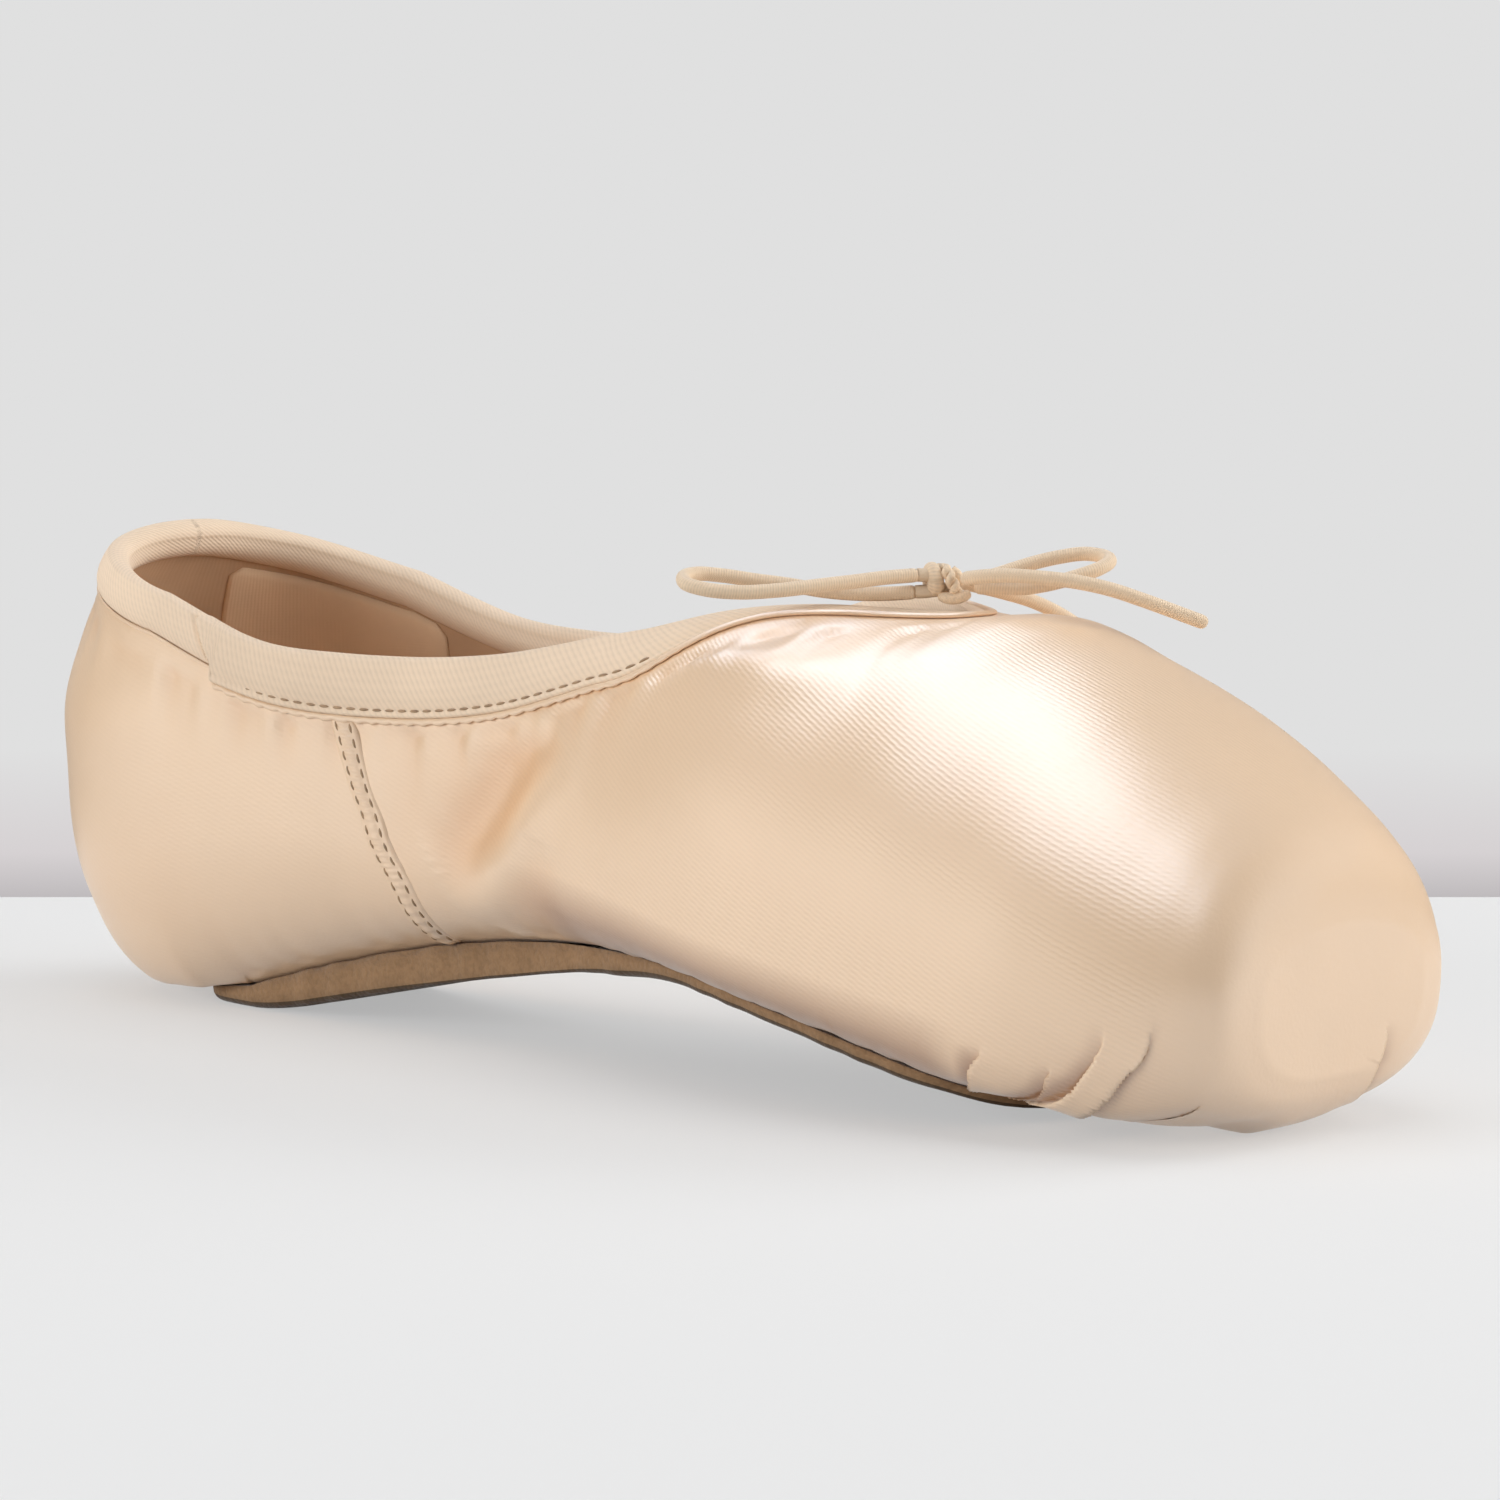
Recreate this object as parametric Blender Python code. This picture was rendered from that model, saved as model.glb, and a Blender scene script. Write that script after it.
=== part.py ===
"""A pointe shoe on a straight last, as separate solids.

The pieces are the satin upper, outsole, insole, collar binding, piping, two side seams and the drawstring's bow.
The shoe stands on the plane z = 0 with its toe towards +X, and fits either foot.
Sizes and tables are in millimetres. A place on the last is (along, angle): along is measured from the back
of the heel to the middle of the toe's platform, and angle runs from -90 at the middle of the underside to 90 at the crown.
"""

import math
from collections import namedtuple

import bmesh
import bpy
import numpy as np

MM = 0.001

# Driving dimensions of the last
HEEL_TURN = 36.0
HEEL_DEPTH = 38.5
HEEL_PLAN_POWER = 2.2
HEEL_SECTION = {"widest_z": 42.0, "crown_z": 85.0, "under_z": -4.0, "low_power": 2.3, "high_power": 1.9}
PLATFORM_LEAN = 0.045
PLATFORM_LEAN_START = 192.0
PLATFORM_LEAN_END = 238.0
PLATFORM_LEAN_Z = 19.0
MIDDLE_X = 120.95

# Sections of the last: place runs along its surface, and leaves x where the toe rounds over to the platform
Section = namedtuple("Section", "place x half_width widest_z crown_z under_z floor_z low_power high_power")
SECTIONS = (
    Section(36.0, 36.0, 32.0, 29.0, 98.5, -1.5, 3.1, 2.5, 2.2),
    Section(62.0, 62.0, 31.0, 32.0, 97.5, 6.0, 6.4, 2.4, 2.2),
    Section(87.0, 87.0, 28.5, 32.0, 90.0, 12.2, 11.0, 2.5, 2.2),
    Section(107.0, 107.0, 29.5, 32.5, 77.5, 15.2, 14.0, 2.6, 2.2),
    Section(132.0, 132.0, 34.5, 30.5, 72.5, 16.0, 15.0, 2.8, 2.1),
    Section(162.0, 162.0, 39.5, 25.5, 70.3, 12.2, 11.0, 3.0, 2.75),
    Section(177.0, 177.0, 40.2, 23.5, 69.1, 9.4, 8.2, 3.1, 2.5),
    Section(192.0, 192.0, 40.0, 21.5, 69.2, 6.2, 5.0, 3.2, 2.4),
    Section(203.0, 203.0, 39.1, 20.0, 64.9, 3.6, 2.5, 3.2, 2.3),
    Section(214.0, 214.0, 37.3, 19.2, 58.9, 0.9, 0.0, 3.2, 2.3),
    Section(222.0, 221.8, 35.3, 19.0, 54.4, -0.6, 0.0, 3.1, 2.3),
    Section(230.0, 229.0, 32.8, 19.2, 49.9, -0.6, 0.0, 3.0, 2.25),
    Section(238.0, 235.3, 29.9, 19.6, 45.5, 0.9, 0.0, 2.9, 2.25),
    Section(245.0, 239.9, 27.0, 20.0, 41.1, 3.0, 0.0, 2.8, 2.25),
    Section(251.0, 242.6, 23.4, 20.2, 36.0, 5.8, 0.0, 2.7, 2.3),
    Section(256.0, 243.7, 18.8, 20.4, 30.5, 9.2, 0.0, 2.6, 2.4),
)
PLATFORM_PLACE = SECTIONS[-1].place
FACE_REACH = 18.0

# The collar's edge: its height along the quarters, then a rounded throat seen from above
CollarPoint = namedtuple("CollarPoint", "along height")
COLLAR = (
    CollarPoint(0.0, 75.0),
    CollarPoint(20.0, 72.2),
    CollarPoint(36.0, 66.2),
    CollarPoint(62.0, 58.4),
    CollarPoint(87.0, 57.4),
    CollarPoint(107.0, 59.2),
    CollarPoint(127.0, 63.4),
)
SHOULDER = 127.0
THROAT = 177.0
THROAT_SIDE_POWER = 1.35
THROAT_TIP_POWER = 0.78

# The gap in the upper under the foot, which insole and outsole close
OPENING_REAR = 44.0
OPENING_FRONT = 184.0
OPENING_HALF_WIDTH = 12.0
OPENING_END_ROUND = 24.0

# The outsole stands on its flat heel, and rises in the waist
OUTSOLE_FLAT_END = 42.0
OutsolePoint = namedtuple("OutsolePoint", "x half_width bottom_z")
OUTSOLE = (
    OutsolePoint(28.0, 17.0, 0.0),
    OutsolePoint(OUTSOLE_FLAT_END, 18.0, 0.0),
    OutsolePoint(62.0, 18.0, 3.6),
    OutsolePoint(87.0, 17.0, 9.0),
    OutsolePoint(107.0, 17.5, 12.2),
    OutsolePoint(132.0, 22.0, 13.4),
    OutsolePoint(162.0, 28.0, 10.0),
    OutsolePoint(192.0, 29.0, 4.2),
    OutsolePoint(207.0, 26.0, 1.6),
)
OUTSOLE_END_ROUND = 15.0
OUTSOLE_EDGE_BEVEL = 0.8

INSOLE_REAR = 22.0
INSOLE_FRONT = 200.0
INSOLE_SHARE = 0.66
INSOLE_THICKNESS = 1.6
INSOLE_END_ROUND = 22.0

WALL = 2.0
GAP = 0.3
BINDING_GAP = 0.35
LINING_GAP = 0.5
SOLE_GAP = 0.45
INSOLE_GAP = 0.7

BINDING_DEPTH = 7.5
BINDING_THICKNESS = 0.8
PIPING_RADIUS = 0.5
PIPING_SIDES = 5

SeamPoint = namedtuple("SeamPoint", "share along angle")
SEAM = (
    SeamPoint(0.0, 76.5, 12.5),
    SeamPoint(0.3, 80.5, 3.5),
    SeamPoint(0.6, 85.5, -9.0),
    SeamPoint(1.0, 88.5, -46.0),
)
SEAM_HALF_WIDTH = 2.6
SEAM_THICKNESS = 0.5

CORD_DIAMETER = 2.1
CORD_STEP = 4.4
CORD_BEVEL_RESOLUTION = 2

RoutePoint = namedtuple("RoutePoint", "x y z")
BOW_LOOP_NEAR = (
    RoutePoint(171.3, -4.4, 74.9),
    RoutePoint(169.2, -8.7, 74.7),
    RoutePoint(167.2, -13.7, 74.3),
    RoutePoint(165.0, -18.9, 73.9),
    RoutePoint(162.1, -24.3, 73.4),
    RoutePoint(158.6, -28.9, 73.2),
    RoutePoint(155.2, -32.1, 73.6),
    RoutePoint(152.0, -32.9, 74.3),
    RoutePoint(149.8, -31.1, 75.0),
    RoutePoint(149.2, -27.7, 75.3),
    RoutePoint(150.8, -23.9, 74.9),
    RoutePoint(153.6, -19.9, 74.1),
    RoutePoint(156.8, -16.1, 73.4),
    RoutePoint(160.2, -12.5, 72.5),
    RoutePoint(163.8, -9.4, 72.1),
    RoutePoint(167.2, -6.5, 72.1),
    RoutePoint(170.8, -4.2, 72.4),
)
BOW_LOOP_FAR = (
    RoutePoint(175.1, 2.4, 74.2),
    RoutePoint(175.1, 4.9, 74.1),
    RoutePoint(175.6, 7.7, 74.4),
    RoutePoint(176.6, 10.5, 75.1),
    RoutePoint(178.3, 13.5, 76.0),
    RoutePoint(180.6, 16.5, 76.8),
    RoutePoint(183.6, 18.9, 77.3),
    RoutePoint(186.8, 19.4, 77.0),
    RoutePoint(189.2, 17.5, 76.5),
    RoutePoint(189.8, 14.3, 75.7),
    RoutePoint(188.4, 10.9, 74.7),
    RoutePoint(186.0, 7.9, 73.7),
    RoutePoint(183.2, 5.3, 73.1),
    RoutePoint(180.2, 3.1, 73.1),
    RoutePoint(177.2, 1.4, 73.1),
)
BOW_TAIL_FRONT = (
    RoutePoint(177.4, -1.6, 74.5),
    RoutePoint(180.0, -1.3, 74.9),
    RoutePoint(183.4, 0.1, 75.2),
    RoutePoint(187.6, 2.9, 75.0),
    RoutePoint(191.4, 6.5, 74.4),
    RoutePoint(194.6, 10.4, 73.3),
    RoutePoint(197.4, 14.7, 71.6),
    RoutePoint(200.0, 19.2, 69.7),
    RoutePoint(202.4, 23.4, 67.9),
)
BOW_TAIL_FAR = (
    RoutePoint(171.7, 2.3, 73.8),
    RoutePoint(170.8, 6.0, 73.2),
    RoutePoint(171.2, 10.0, 72.3),
    RoutePoint(172.4, 14.2, 71.2),
    RoutePoint(174.2, 18.4, 69.8),
    RoutePoint(176.2, 22.4, 67.7),
    RoutePoint(178.2, 26.0, 65.0),
    RoutePoint(180.0, 29.0, 62.4),
    RoutePoint(181.4, 31.6, 59.8),
)
KNOT_CENTRE = (173.5, -1.2, 74.2)
KNOT_RADII = (3.0, 3.0, 3.2)
KNOT_SUBDIVISIONS = 2

# Mesh fineness: the ribs' angles are closer together under the foot and at the collar.
# An even station nearer than NEAREST_STATION of a step to a needed one is left out.
LOW_RIBS = 3
LOW_RIBS_END = -45.0
MIDDLE_RIBS = 8
TOP_RIBS = 3
TOP_RIBS_SPAN = 13.0
STATION_STEP = 7.0
HEEL_STATIONS = 8
FACE_RINGS = (0.62, 0.3)
TOE_START = 214.0
TOE_STATIONS = 8
COLLAR_STATIONS = 33
END_STATIONS = (0.0, 0.6, 2.5, 6.0, 11.0)
OUTSOLE_COLUMNS = 11
INSOLE_COLUMNS = 9
INSOLE_STEP = 9.0
SEAM_ROWS = 12
CURVE_SAMPLES = 1200
END_ROUND_POWER = 0.8
PLAN_END_STATIONS = (0.6, 2.5, 6.0)
NEAREST_STATION = 0.45
NARROWEST_FLAT = 0.5
SHARP_ANGLE = 40.0
SLOPE_STEP = 0.02
MERGE_DISTANCE = 0.02
SMALL = 1e-4

Finish = namedtuple("Finish", "color roughness")
SATIN = Finish((0.78, 0.60, 0.46), 0.35)
BINDING_TWILL = Finish((0.76, 0.61, 0.47), 0.85)
SUEDE = Finish((0.29, 0.19, 0.13), 0.95)
LINING = Finish((0.66, 0.50, 0.37), 0.9)
CORD = Finish((0.80, 0.62, 0.45), 0.7)


def smooth_between(places, values, at):
    """A smooth curve through the values, with slopes weighted by the nearer side."""
    places = np.asarray(places, float)
    values = np.asarray(values, float)
    at = np.asarray(at, float)
    spans = np.diff(places)
    rises = np.diff(values) / spans
    slopes = np.empty(len(places))
    slopes[0] = rises[0]
    slopes[-1] = rises[-1]
    slopes[1:-1] = (rises[:-1] * spans[1:] + rises[1:] * spans[:-1]) / (spans[:-1] + spans[1:])
    span = np.clip(np.searchsorted(places, at) - 1, 0, len(spans) - 1)
    width = spans[span]
    t = np.clip((at - places[span]) / width, 0.0, 1.0)
    start = (2 * t**3 - 3 * t**2 + 1) * values[span]
    leave = (t**3 - 2 * t**2 + t) * width * slopes[span]
    end = (3 * t**2 - 2 * t**3) * values[span + 1]
    arrive = (t**3 - t**2) * width * slopes[span + 1]
    return start + leave + end + arrive


def column(table, name, at):
    """The named column of a table, read smoothly at a place in its first column."""
    return smooth_between([row[0] for row in table], [getattr(row, name) for row in table], at)


def section_at(along):
    """The last's section: straight ones along the foot, turning to the heel's own round its back.

    Past the platform's place the section shrinks to the middle of its flat face.
    """
    along = np.asarray(along, float)
    place = np.clip(along, HEEL_TURN, PLATFORM_PLACE)
    share = np.clip((HEEL_TURN - along) / HEEL_TURN, 0.0, 1.0)
    mix = np.sin(share * math.pi / 2) ** 2
    section = {name: column(SECTIONS, name, place) for name in Section._fields[1:]}
    for name, value in HEEL_SECTION.items():
        section[name] = section[name] * (1 - mix) + value * mix
    section["floor_z"] = np.maximum(section["floor_z"], 0.0)
    size = 1 - np.clip((along - PLATFORM_PLACE) / FACE_REACH, 0.0, 1.0)
    middle_z = (section["crown_z"] + section["under_z"]) / 2
    for name in ("crown_z", "under_z", "widest_z"):
        section[name] = middle_z + (section[name] - middle_z) * size
    section["half_width"] = section["half_width"] * size
    return section, share * math.pi / 2


def ring_point(section, angle):
    """Half width as a share, and height, of a point on a section."""
    turn = np.radians(angle)
    power = np.where(angle < 0, section["low_power"], section["high_power"])
    share = np.maximum(np.cos(turn), 0.0) ** (2 / power)
    height = np.abs(np.sin(turn)) ** (2 / power)
    below = section["widest_z"] - (section["widest_z"] - section["under_z"]) * height
    above = section["widest_z"] + (section["crown_z"] - section["widest_z"]) * height
    return share, np.where(angle < 0, np.maximum(below, section["floor_z"]), above)


def lean(x, z):
    """The platform leans a little back at its foot."""
    share = np.clip((x - PLATFORM_LEAN_START) / (PLATFORM_LEAN_END - PLATFORM_LEAN_START), 0.0, 1.0)
    return x + PLATFORM_LEAN * share * (z - PLATFORM_LEAN_Z)


def last_point(along, angle):
    """A point on the near side of the last's outer surface."""
    along, angle = np.broadcast_arrays(np.asarray(along, float), np.asarray(angle, float))
    section, turn = section_at(along)
    share, z = ring_point(section, angle)
    back = np.sin(turn) ** (2 / HEEL_PLAN_POWER)
    side = np.cos(turn) ** (2 / HEEL_PLAN_POWER)
    x = section["x"] - HEEL_DEPTH * share * back
    y = -section["half_width"] * share * side
    return np.stack([lean(x, z), y, z], -1)


def unit(vectors):
    return vectors / np.linalg.norm(vectors, axis=-1, keepdims=True)


def slopes_at(along, angle):
    """How the point moves for a small step along the foot and up the section."""
    step = SLOPE_STEP
    forward = (last_point(along + step, angle) - last_point(along - step, angle)) / (2 * step)
    upward = (last_point(along, angle + step) - last_point(along, angle - step)) / (2 * step)
    return forward, upward


def outward(along, angle):
    forward, upward = slopes_at(along, angle)
    return unit(np.cross(forward, upward))


def angle_at_height(along, height):
    section, _ = section_at(along)
    share = (height - section["widest_z"]) / (section["crown_z"] - section["widest_z"])
    return np.degrees(np.arcsin(np.clip(share, 0.0, 1.0) ** (section["high_power"] / 2)))


def angle_at_half_width(along, half_width, power_name):
    section, _ = section_at(along)
    share = np.clip(half_width / section["half_width"], 0.0, 1.0)
    return np.degrees(np.arccos(share ** (section[power_name] / 2)))


def collar_angle(along):
    """Where the collar's edge crosses the section, 90 in front of the throat."""
    along = np.asarray(along, float)
    quarter = angle_at_height(along, column(COLLAR, "height", along))
    shoulder_angle = math.radians(float(angle_at_height(SHOULDER, COLLAR[-1].height)))
    section, _ = section_at(SHOULDER)
    shoulder = section["half_width"] * math.cos(shoulder_angle) ** (2 / section["high_power"])
    t = np.clip((along - SHOULDER) / (THROAT - SHOULDER), 0.0, 1.0)
    throat_width = shoulder * (1 - t**THROAT_SIDE_POWER) ** THROAT_TIP_POWER
    throat = angle_at_half_width(np.minimum(along, THROAT), throat_width, "high_power")
    return np.where(along < SHOULDER, quarter, throat)


def round_end(distance, radius):
    """Share of the full width at this distance from a half round end."""
    rest = 1 - np.clip(distance, 0.0, radius) / radius
    return np.sqrt(1 - rest**2)


def opening_angle(along):
    """Where the gap under the foot crosses the section, -90 where there is none."""
    distance = np.minimum(along - OPENING_REAR, OPENING_FRONT - along)
    half_width = OPENING_HALF_WIDTH * round_end(distance, OPENING_END_ROUND)
    return -angle_at_half_width(np.minimum(along, OPENING_FRONT), half_width, "low_power")


def underside(x, y):
    """Height of the last's underside over a place on the plan."""
    x = np.asarray(x, float)
    y = np.abs(np.asarray(y, float))
    behind = np.clip((HEEL_TURN - x) / HEEL_DEPTH, 0.0, 1.0)
    section, _ = section_at(np.maximum(x, HEEL_TURN))
    aside = y / section["half_width"]
    power = HEEL_PLAN_POWER
    share = (behind**power + aside**power) ** (1 / power)
    round_heel = np.arctan2(behind ** (power / 2), np.maximum(aside, SMALL) ** (power / 2))
    section, _ = section_at(np.where(x < HEEL_TURN, HEEL_TURN * (1 - round_heel * 2 / math.pi), x))
    low = section["low_power"]
    drop = (1 - np.clip(share, 0.0, 1.0 - SMALL) ** low) ** (1 / low)
    return np.maximum(section["widest_z"] - (section["widest_z"] - section["under_z"]) * drop, section["floor_z"])


def underside_offset(x, y, distance):
    """The underside moved by a distance along its normal, up for a positive one."""
    step = SLOPE_STEP
    slope_x = (underside(x + step, y) - underside(x - step, y)) / (2 * step)
    slope_y = (underside(x, y + step) - underside(x, y - step)) / (2 * step)
    return underside(x, y) + distance * np.sqrt(1 + slope_x**2 + slope_y**2)


def merged_stations(start, end, step, extra):
    """Even stations with the extra ones among them, where even ones too near are left out."""
    even = np.linspace(start, end, int(abs(end - start) / step) + 2)
    kept = [x for x in even[1:-1] if min(abs(x - e) for e in extra) > step * NEAREST_STATION]
    inside = [e for e in extra if min(start, end) < e < max(start, end)]
    return sorted([even[0], *kept, *inside, even[-1]], reverse=start > end)


def material(name, finish):
    made = bpy.data.materials.new(name)
    made.use_nodes = True
    shader = made.node_tree.nodes["Principled BSDF"]
    shader.inputs["Base Color"].default_value = (*finish.color, 1.0)
    shader.inputs["Roughness"].default_value = finish.roughness
    shader.inputs["Metallic"].default_value = 0.0
    made.diffuse_color = (*finish.color, 1.0)
    return made


def add_object(name, data, finish):
    made = bpy.data.objects.new(name, data)
    made.location = (-MIDDLE_X * MM, 0.0, 0.0)
    data.materials.append(material(name, finish))
    bpy.context.scene.collection.objects.link(made)
    return made


def add_mesh(name, mesh, finish):
    """An object from a bmesh in millimetres, smooth except at its sharp edges."""
    bmesh.ops.scale(mesh, vec=(MM, MM, MM), verts=mesh.verts)
    data = bpy.data.meshes.new(name)
    mesh.to_mesh(data)
    mesh.free()
    data.shade_smooth()
    data.set_sharp_from_angle(angle=math.radians(SHARP_ANGLE))
    return add_object(name, data, finish)


def add_grid(mesh, rows, closed_rows=False):
    """Faces between rows of points, and between each row's ends where the rows are rings."""
    made = [[mesh.verts.new(point) for point in row] for row in rows]
    count = len(made[0])
    for lower, upper in zip(made, made[1:]):
        for i in range(count if closed_rows else count - 1):
            j = (i + 1) % count
            mesh.faces.new((lower[i], lower[j], upper[j], upper[i]))
    return made


def face_outward(mesh):
    """Turns all faces one way and outwards. An open half is right too, as its open side lies on y = 0."""
    bmesh.ops.recalc_face_normals(mesh, faces=mesh.faces)
    if mesh.calc_volume(signed=True) < 0:
        bmesh.ops.reverse_faces(mesh, faces=mesh.faces)


def closed_loft(rings, end_caps=True):
    """A solid through rings of points, closed at its ends by flat faces."""
    mesh = bmesh.new()
    made = add_grid(mesh, rings, closed_rows=True)
    if end_caps:
        mesh.faces.new(reversed(made[0]))
        mesh.faces.new(made[-1])
    face_outward(mesh)
    return mesh


def mirror_across(made):
    """Mirrors an object's half over the shoe's middle plane."""
    mirror = made.modifiers.new("Mirror", "MIRROR")
    mirror.use_axis = (False, True, False)
    mirror.use_mirror_merge = True
    mirror.merge_threshold = MERGE_DISTANCE * MM
    return mirror


def rib_angles(low, high):
    """Angles along a rib, from the gap under the foot or the middle, up to the collar or the crown."""
    lower = np.linspace(low, LOW_RIBS_END, LOW_RIBS + 1)
    middle = np.linspace(LOW_RIBS_END, high - TOP_RIBS_SPAN, MIDDLE_RIBS + 1)
    top = np.linspace(high - TOP_RIBS_SPAN, high, TOP_RIBS + 1)
    return np.concatenate([lower, middle[1:], top[1:]])


def upper_rows():
    """Ribs of the near half, from the middle of the platform's face back round the heel."""
    ends = [THROAT - e for e in END_STATIONS]
    ends += [OPENING_FRONT - e for e in END_STATIONS]
    ends += [OPENING_REAR + e for e in END_STATIONS]
    stations = list(PLATFORM_PLACE + FACE_REACH * np.array(FACE_RINGS))
    stations += list(np.linspace(PLATFORM_PLACE, TOE_START, TOE_STATIONS + 1)[:-1])
    stations += merged_stations(TOE_START, HEEL_TURN, STATION_STEP, ends)
    stations += list(np.linspace(HEEL_TURN, 0.0, HEEL_STATIONS + 1)[1:])
    rows = []
    for along in stations:
        rows.append(last_point(along, rib_angles(float(opening_angle(along)), float(collar_angle(along)))))
    return last_point(PLATFORM_PLACE + FACE_REACH, 0.0), rows


def build_upper():
    middle, rows = upper_rows()
    for row in rows:
        row[:, 1] = np.where(row[:, 1] > -SMALL, 0.0, row[:, 1])
    rows[-1][:, 1] = 0.0
    mesh = bmesh.new()
    made = add_grid(mesh, rows)
    tip = mesh.verts.new(middle)
    for lower, upper in zip(made[0], made[0][1:]):
        mesh.faces.new((tip, upper, lower))
    bmesh.ops.remove_doubles(mesh, verts=mesh.verts, dist=MERGE_DISTANCE)
    face_outward(mesh)
    made = add_mesh("upper", mesh, SATIN)
    mirror_across(made)
    wall = made.modifiers.new("Wall", "SOLIDIFY")
    wall.thickness = WALL * MM
    wall.offset = -1.0
    wall.use_even_offset = True
    return made


def plan_half_width(table_width, x, rear, front, rear_round, front_round):
    ends = round_end(x - rear, rear_round) * round_end(front - x, front_round)
    return table_width * ends**END_ROUND_POWER


def plan_stations(rear, front, step, needed=()):
    ends = [rear + e for e in PLAN_END_STATIONS] + [front - e for e in PLAN_END_STATIONS]
    return merged_stations(min(ends), max(ends), step, [*ends, *needed])


def build_outsole():
    rear = OUTSOLE[0].x
    front = OUTSOLE[-1].x
    shares = np.sin(np.linspace(-math.pi / 2, math.pi / 2, OUTSOLE_COLUMNS))
    rings = []
    for x in plan_stations(rear, front, STATION_STEP, [OUTSOLE_FLAT_END]):
        width = float(column(OUTSOLE, "half_width", x))
        width = float(plan_half_width(width, x, rear, front, OUTSOLE_END_ROUND, OUTSOLE_END_ROUND))
        bottom = max(float(column(OUTSOLE, "bottom_z", x)), 0.0)
        y = shares * width
        top = np.stack([np.full_like(y, x), y, underside_offset(x, y, -SOLE_GAP)], -1)
        bevel = OUTSOLE_EDGE_BEVEL
        inner = max(width - bevel, width * NARROWEST_FLAT)
        low = [(x, width, bottom + bevel), (x, inner, bottom), (x, -inner, bottom), (x, -width, bottom + bevel)]
        rings.append([*top, *low])
    return add_mesh("outsole", closed_loft(rings), SUEDE)


def build_insole():
    shares = np.linspace(-1.0, 1.0, INSOLE_COLUMNS)
    rings = []
    for x in plan_stations(INSOLE_REAR, INSOLE_FRONT, INSOLE_STEP):
        section, _ = section_at(max(x, HEEL_TURN))
        width = float(section["half_width"]) * INSOLE_SHARE
        width = float(plan_half_width(width, x, INSOLE_REAR, INSOLE_FRONT, INSOLE_END_ROUND, INSOLE_END_ROUND))
        y = shares * width
        floor = underside_offset(x, y, WALL + INSOLE_GAP)
        under = np.stack([np.full_like(y, x), y, floor], -1)
        over = under[::-1] + np.array([0.0, 0.0, INSOLE_THICKNESS])
        rings.append([*under, *over])
    return add_mesh("insole", closed_loft(rings), LINING)


def collar_stations(count):
    """Places along the near collar edge at even steps, from the back of the heel to the throat."""
    fine = THROAT * (1 - np.linspace(1.0, 0.0, CURVE_SAMPLES) ** 2)
    points = last_point(fine, collar_angle(fine))
    run = np.concatenate([[0.0], np.cumsum(np.linalg.norm(np.diff(points, axis=0), axis=1))])
    return np.interp(np.linspace(0.0, run[-1], count + 1), run, fine)


def collar_frame(along):
    """Edge points of the near collar with their outward normals and the way down the surface."""
    edge = last_point(along, collar_angle(along))
    flip = np.array([1.0, -1.0, 1.0])
    before = np.concatenate([edge[1:2] * flip, edge[:-1]])
    after = np.concatenate([edge[1:], edge[-2:-1] * flip])
    tangent = unit(after - before)
    angle = np.minimum(collar_angle(along), 90.0 - SMALL)
    normal = outward(np.maximum(along, SLOPE_STEP), angle)
    normal[[0, -1], 1] = 0.0
    normal = unit(normal)
    return edge, normal, unit(np.cross(tangent, normal))


def walk_down(along, distance, step=1.0):
    """Points and normals at a distance down the surface from the collar's edge, square to it."""
    edge, normal, down = collar_frame(along)
    place = np.array(along, float)
    angle = np.minimum(collar_angle(along), 90.0)
    steps = max(1, int(round(distance / step)))
    point = edge
    for _ in range(steps):
        forward, upward = slopes_at(np.maximum(place, SLOPE_STEP), angle)
        pull = down * (distance / steps)
        a = (forward * forward).sum(-1)
        b = (forward * upward).sum(-1)
        c = (upward * upward).sum(-1)
        p = (forward * pull).sum(-1)
        q = (upward * pull).sum(-1)
        det = a * c - b * b
        place = place + (p * c - q * b) / det
        angle = angle + (q * a - p * b) / det
        normal = outward(np.maximum(place, SLOPE_STEP), angle)
        down = unit(down - normal * (down * normal).sum(-1, keepdims=True))
        point = last_point(place, angle)
    for values in (point, normal):
        values[[0, -1], 1] = 0.0
    return point, unit(normal)


def build_collar_binding():
    """A tape folded over the collar's edge, with a rounded top."""
    along = collar_stations(COLLAR_STATIONS)
    edge, normal, down = collar_frame(along)
    outer = BINDING_GAP
    face = outer + BINDING_THICKNESS
    inner = -WALL - LINING_GAP
    back = inner - BINDING_THICKNESS
    half = (face - back) / 2
    middle = (face + back) / 2
    deep = BINDING_DEPTH
    profile = [(deep, outer), (deep, face), (deep / 2, face), (0.0, face)]
    for turn in (45.0, 90.0, 135.0):
        rise = half * math.sin(math.radians(turn))
        profile.append((-rise, middle + half * math.cos(math.radians(turn))))
    profile += [(0.0, back), (deep / 2, back), (deep, back), (deep, inner), (deep / 2, inner)]
    profile += [(-BINDING_GAP, inner), (-BINDING_GAP, outer), (deep / 2, outer)]
    columns = []
    for depth, offset in profile:
        if depth > 0:
            point, facing = walk_down(along, depth)
            columns.append(point + facing * offset)
        else:
            columns.append(edge + down * depth + normal * offset)
    rows = np.stack(columns, 1)
    rows[[0, -1], :, 1] = 0.0
    mesh = closed_loft(rows, end_caps=False)
    made = add_mesh("collar_binding", mesh, BINDING_TWILL)
    mirror_across(made)
    return made


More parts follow.
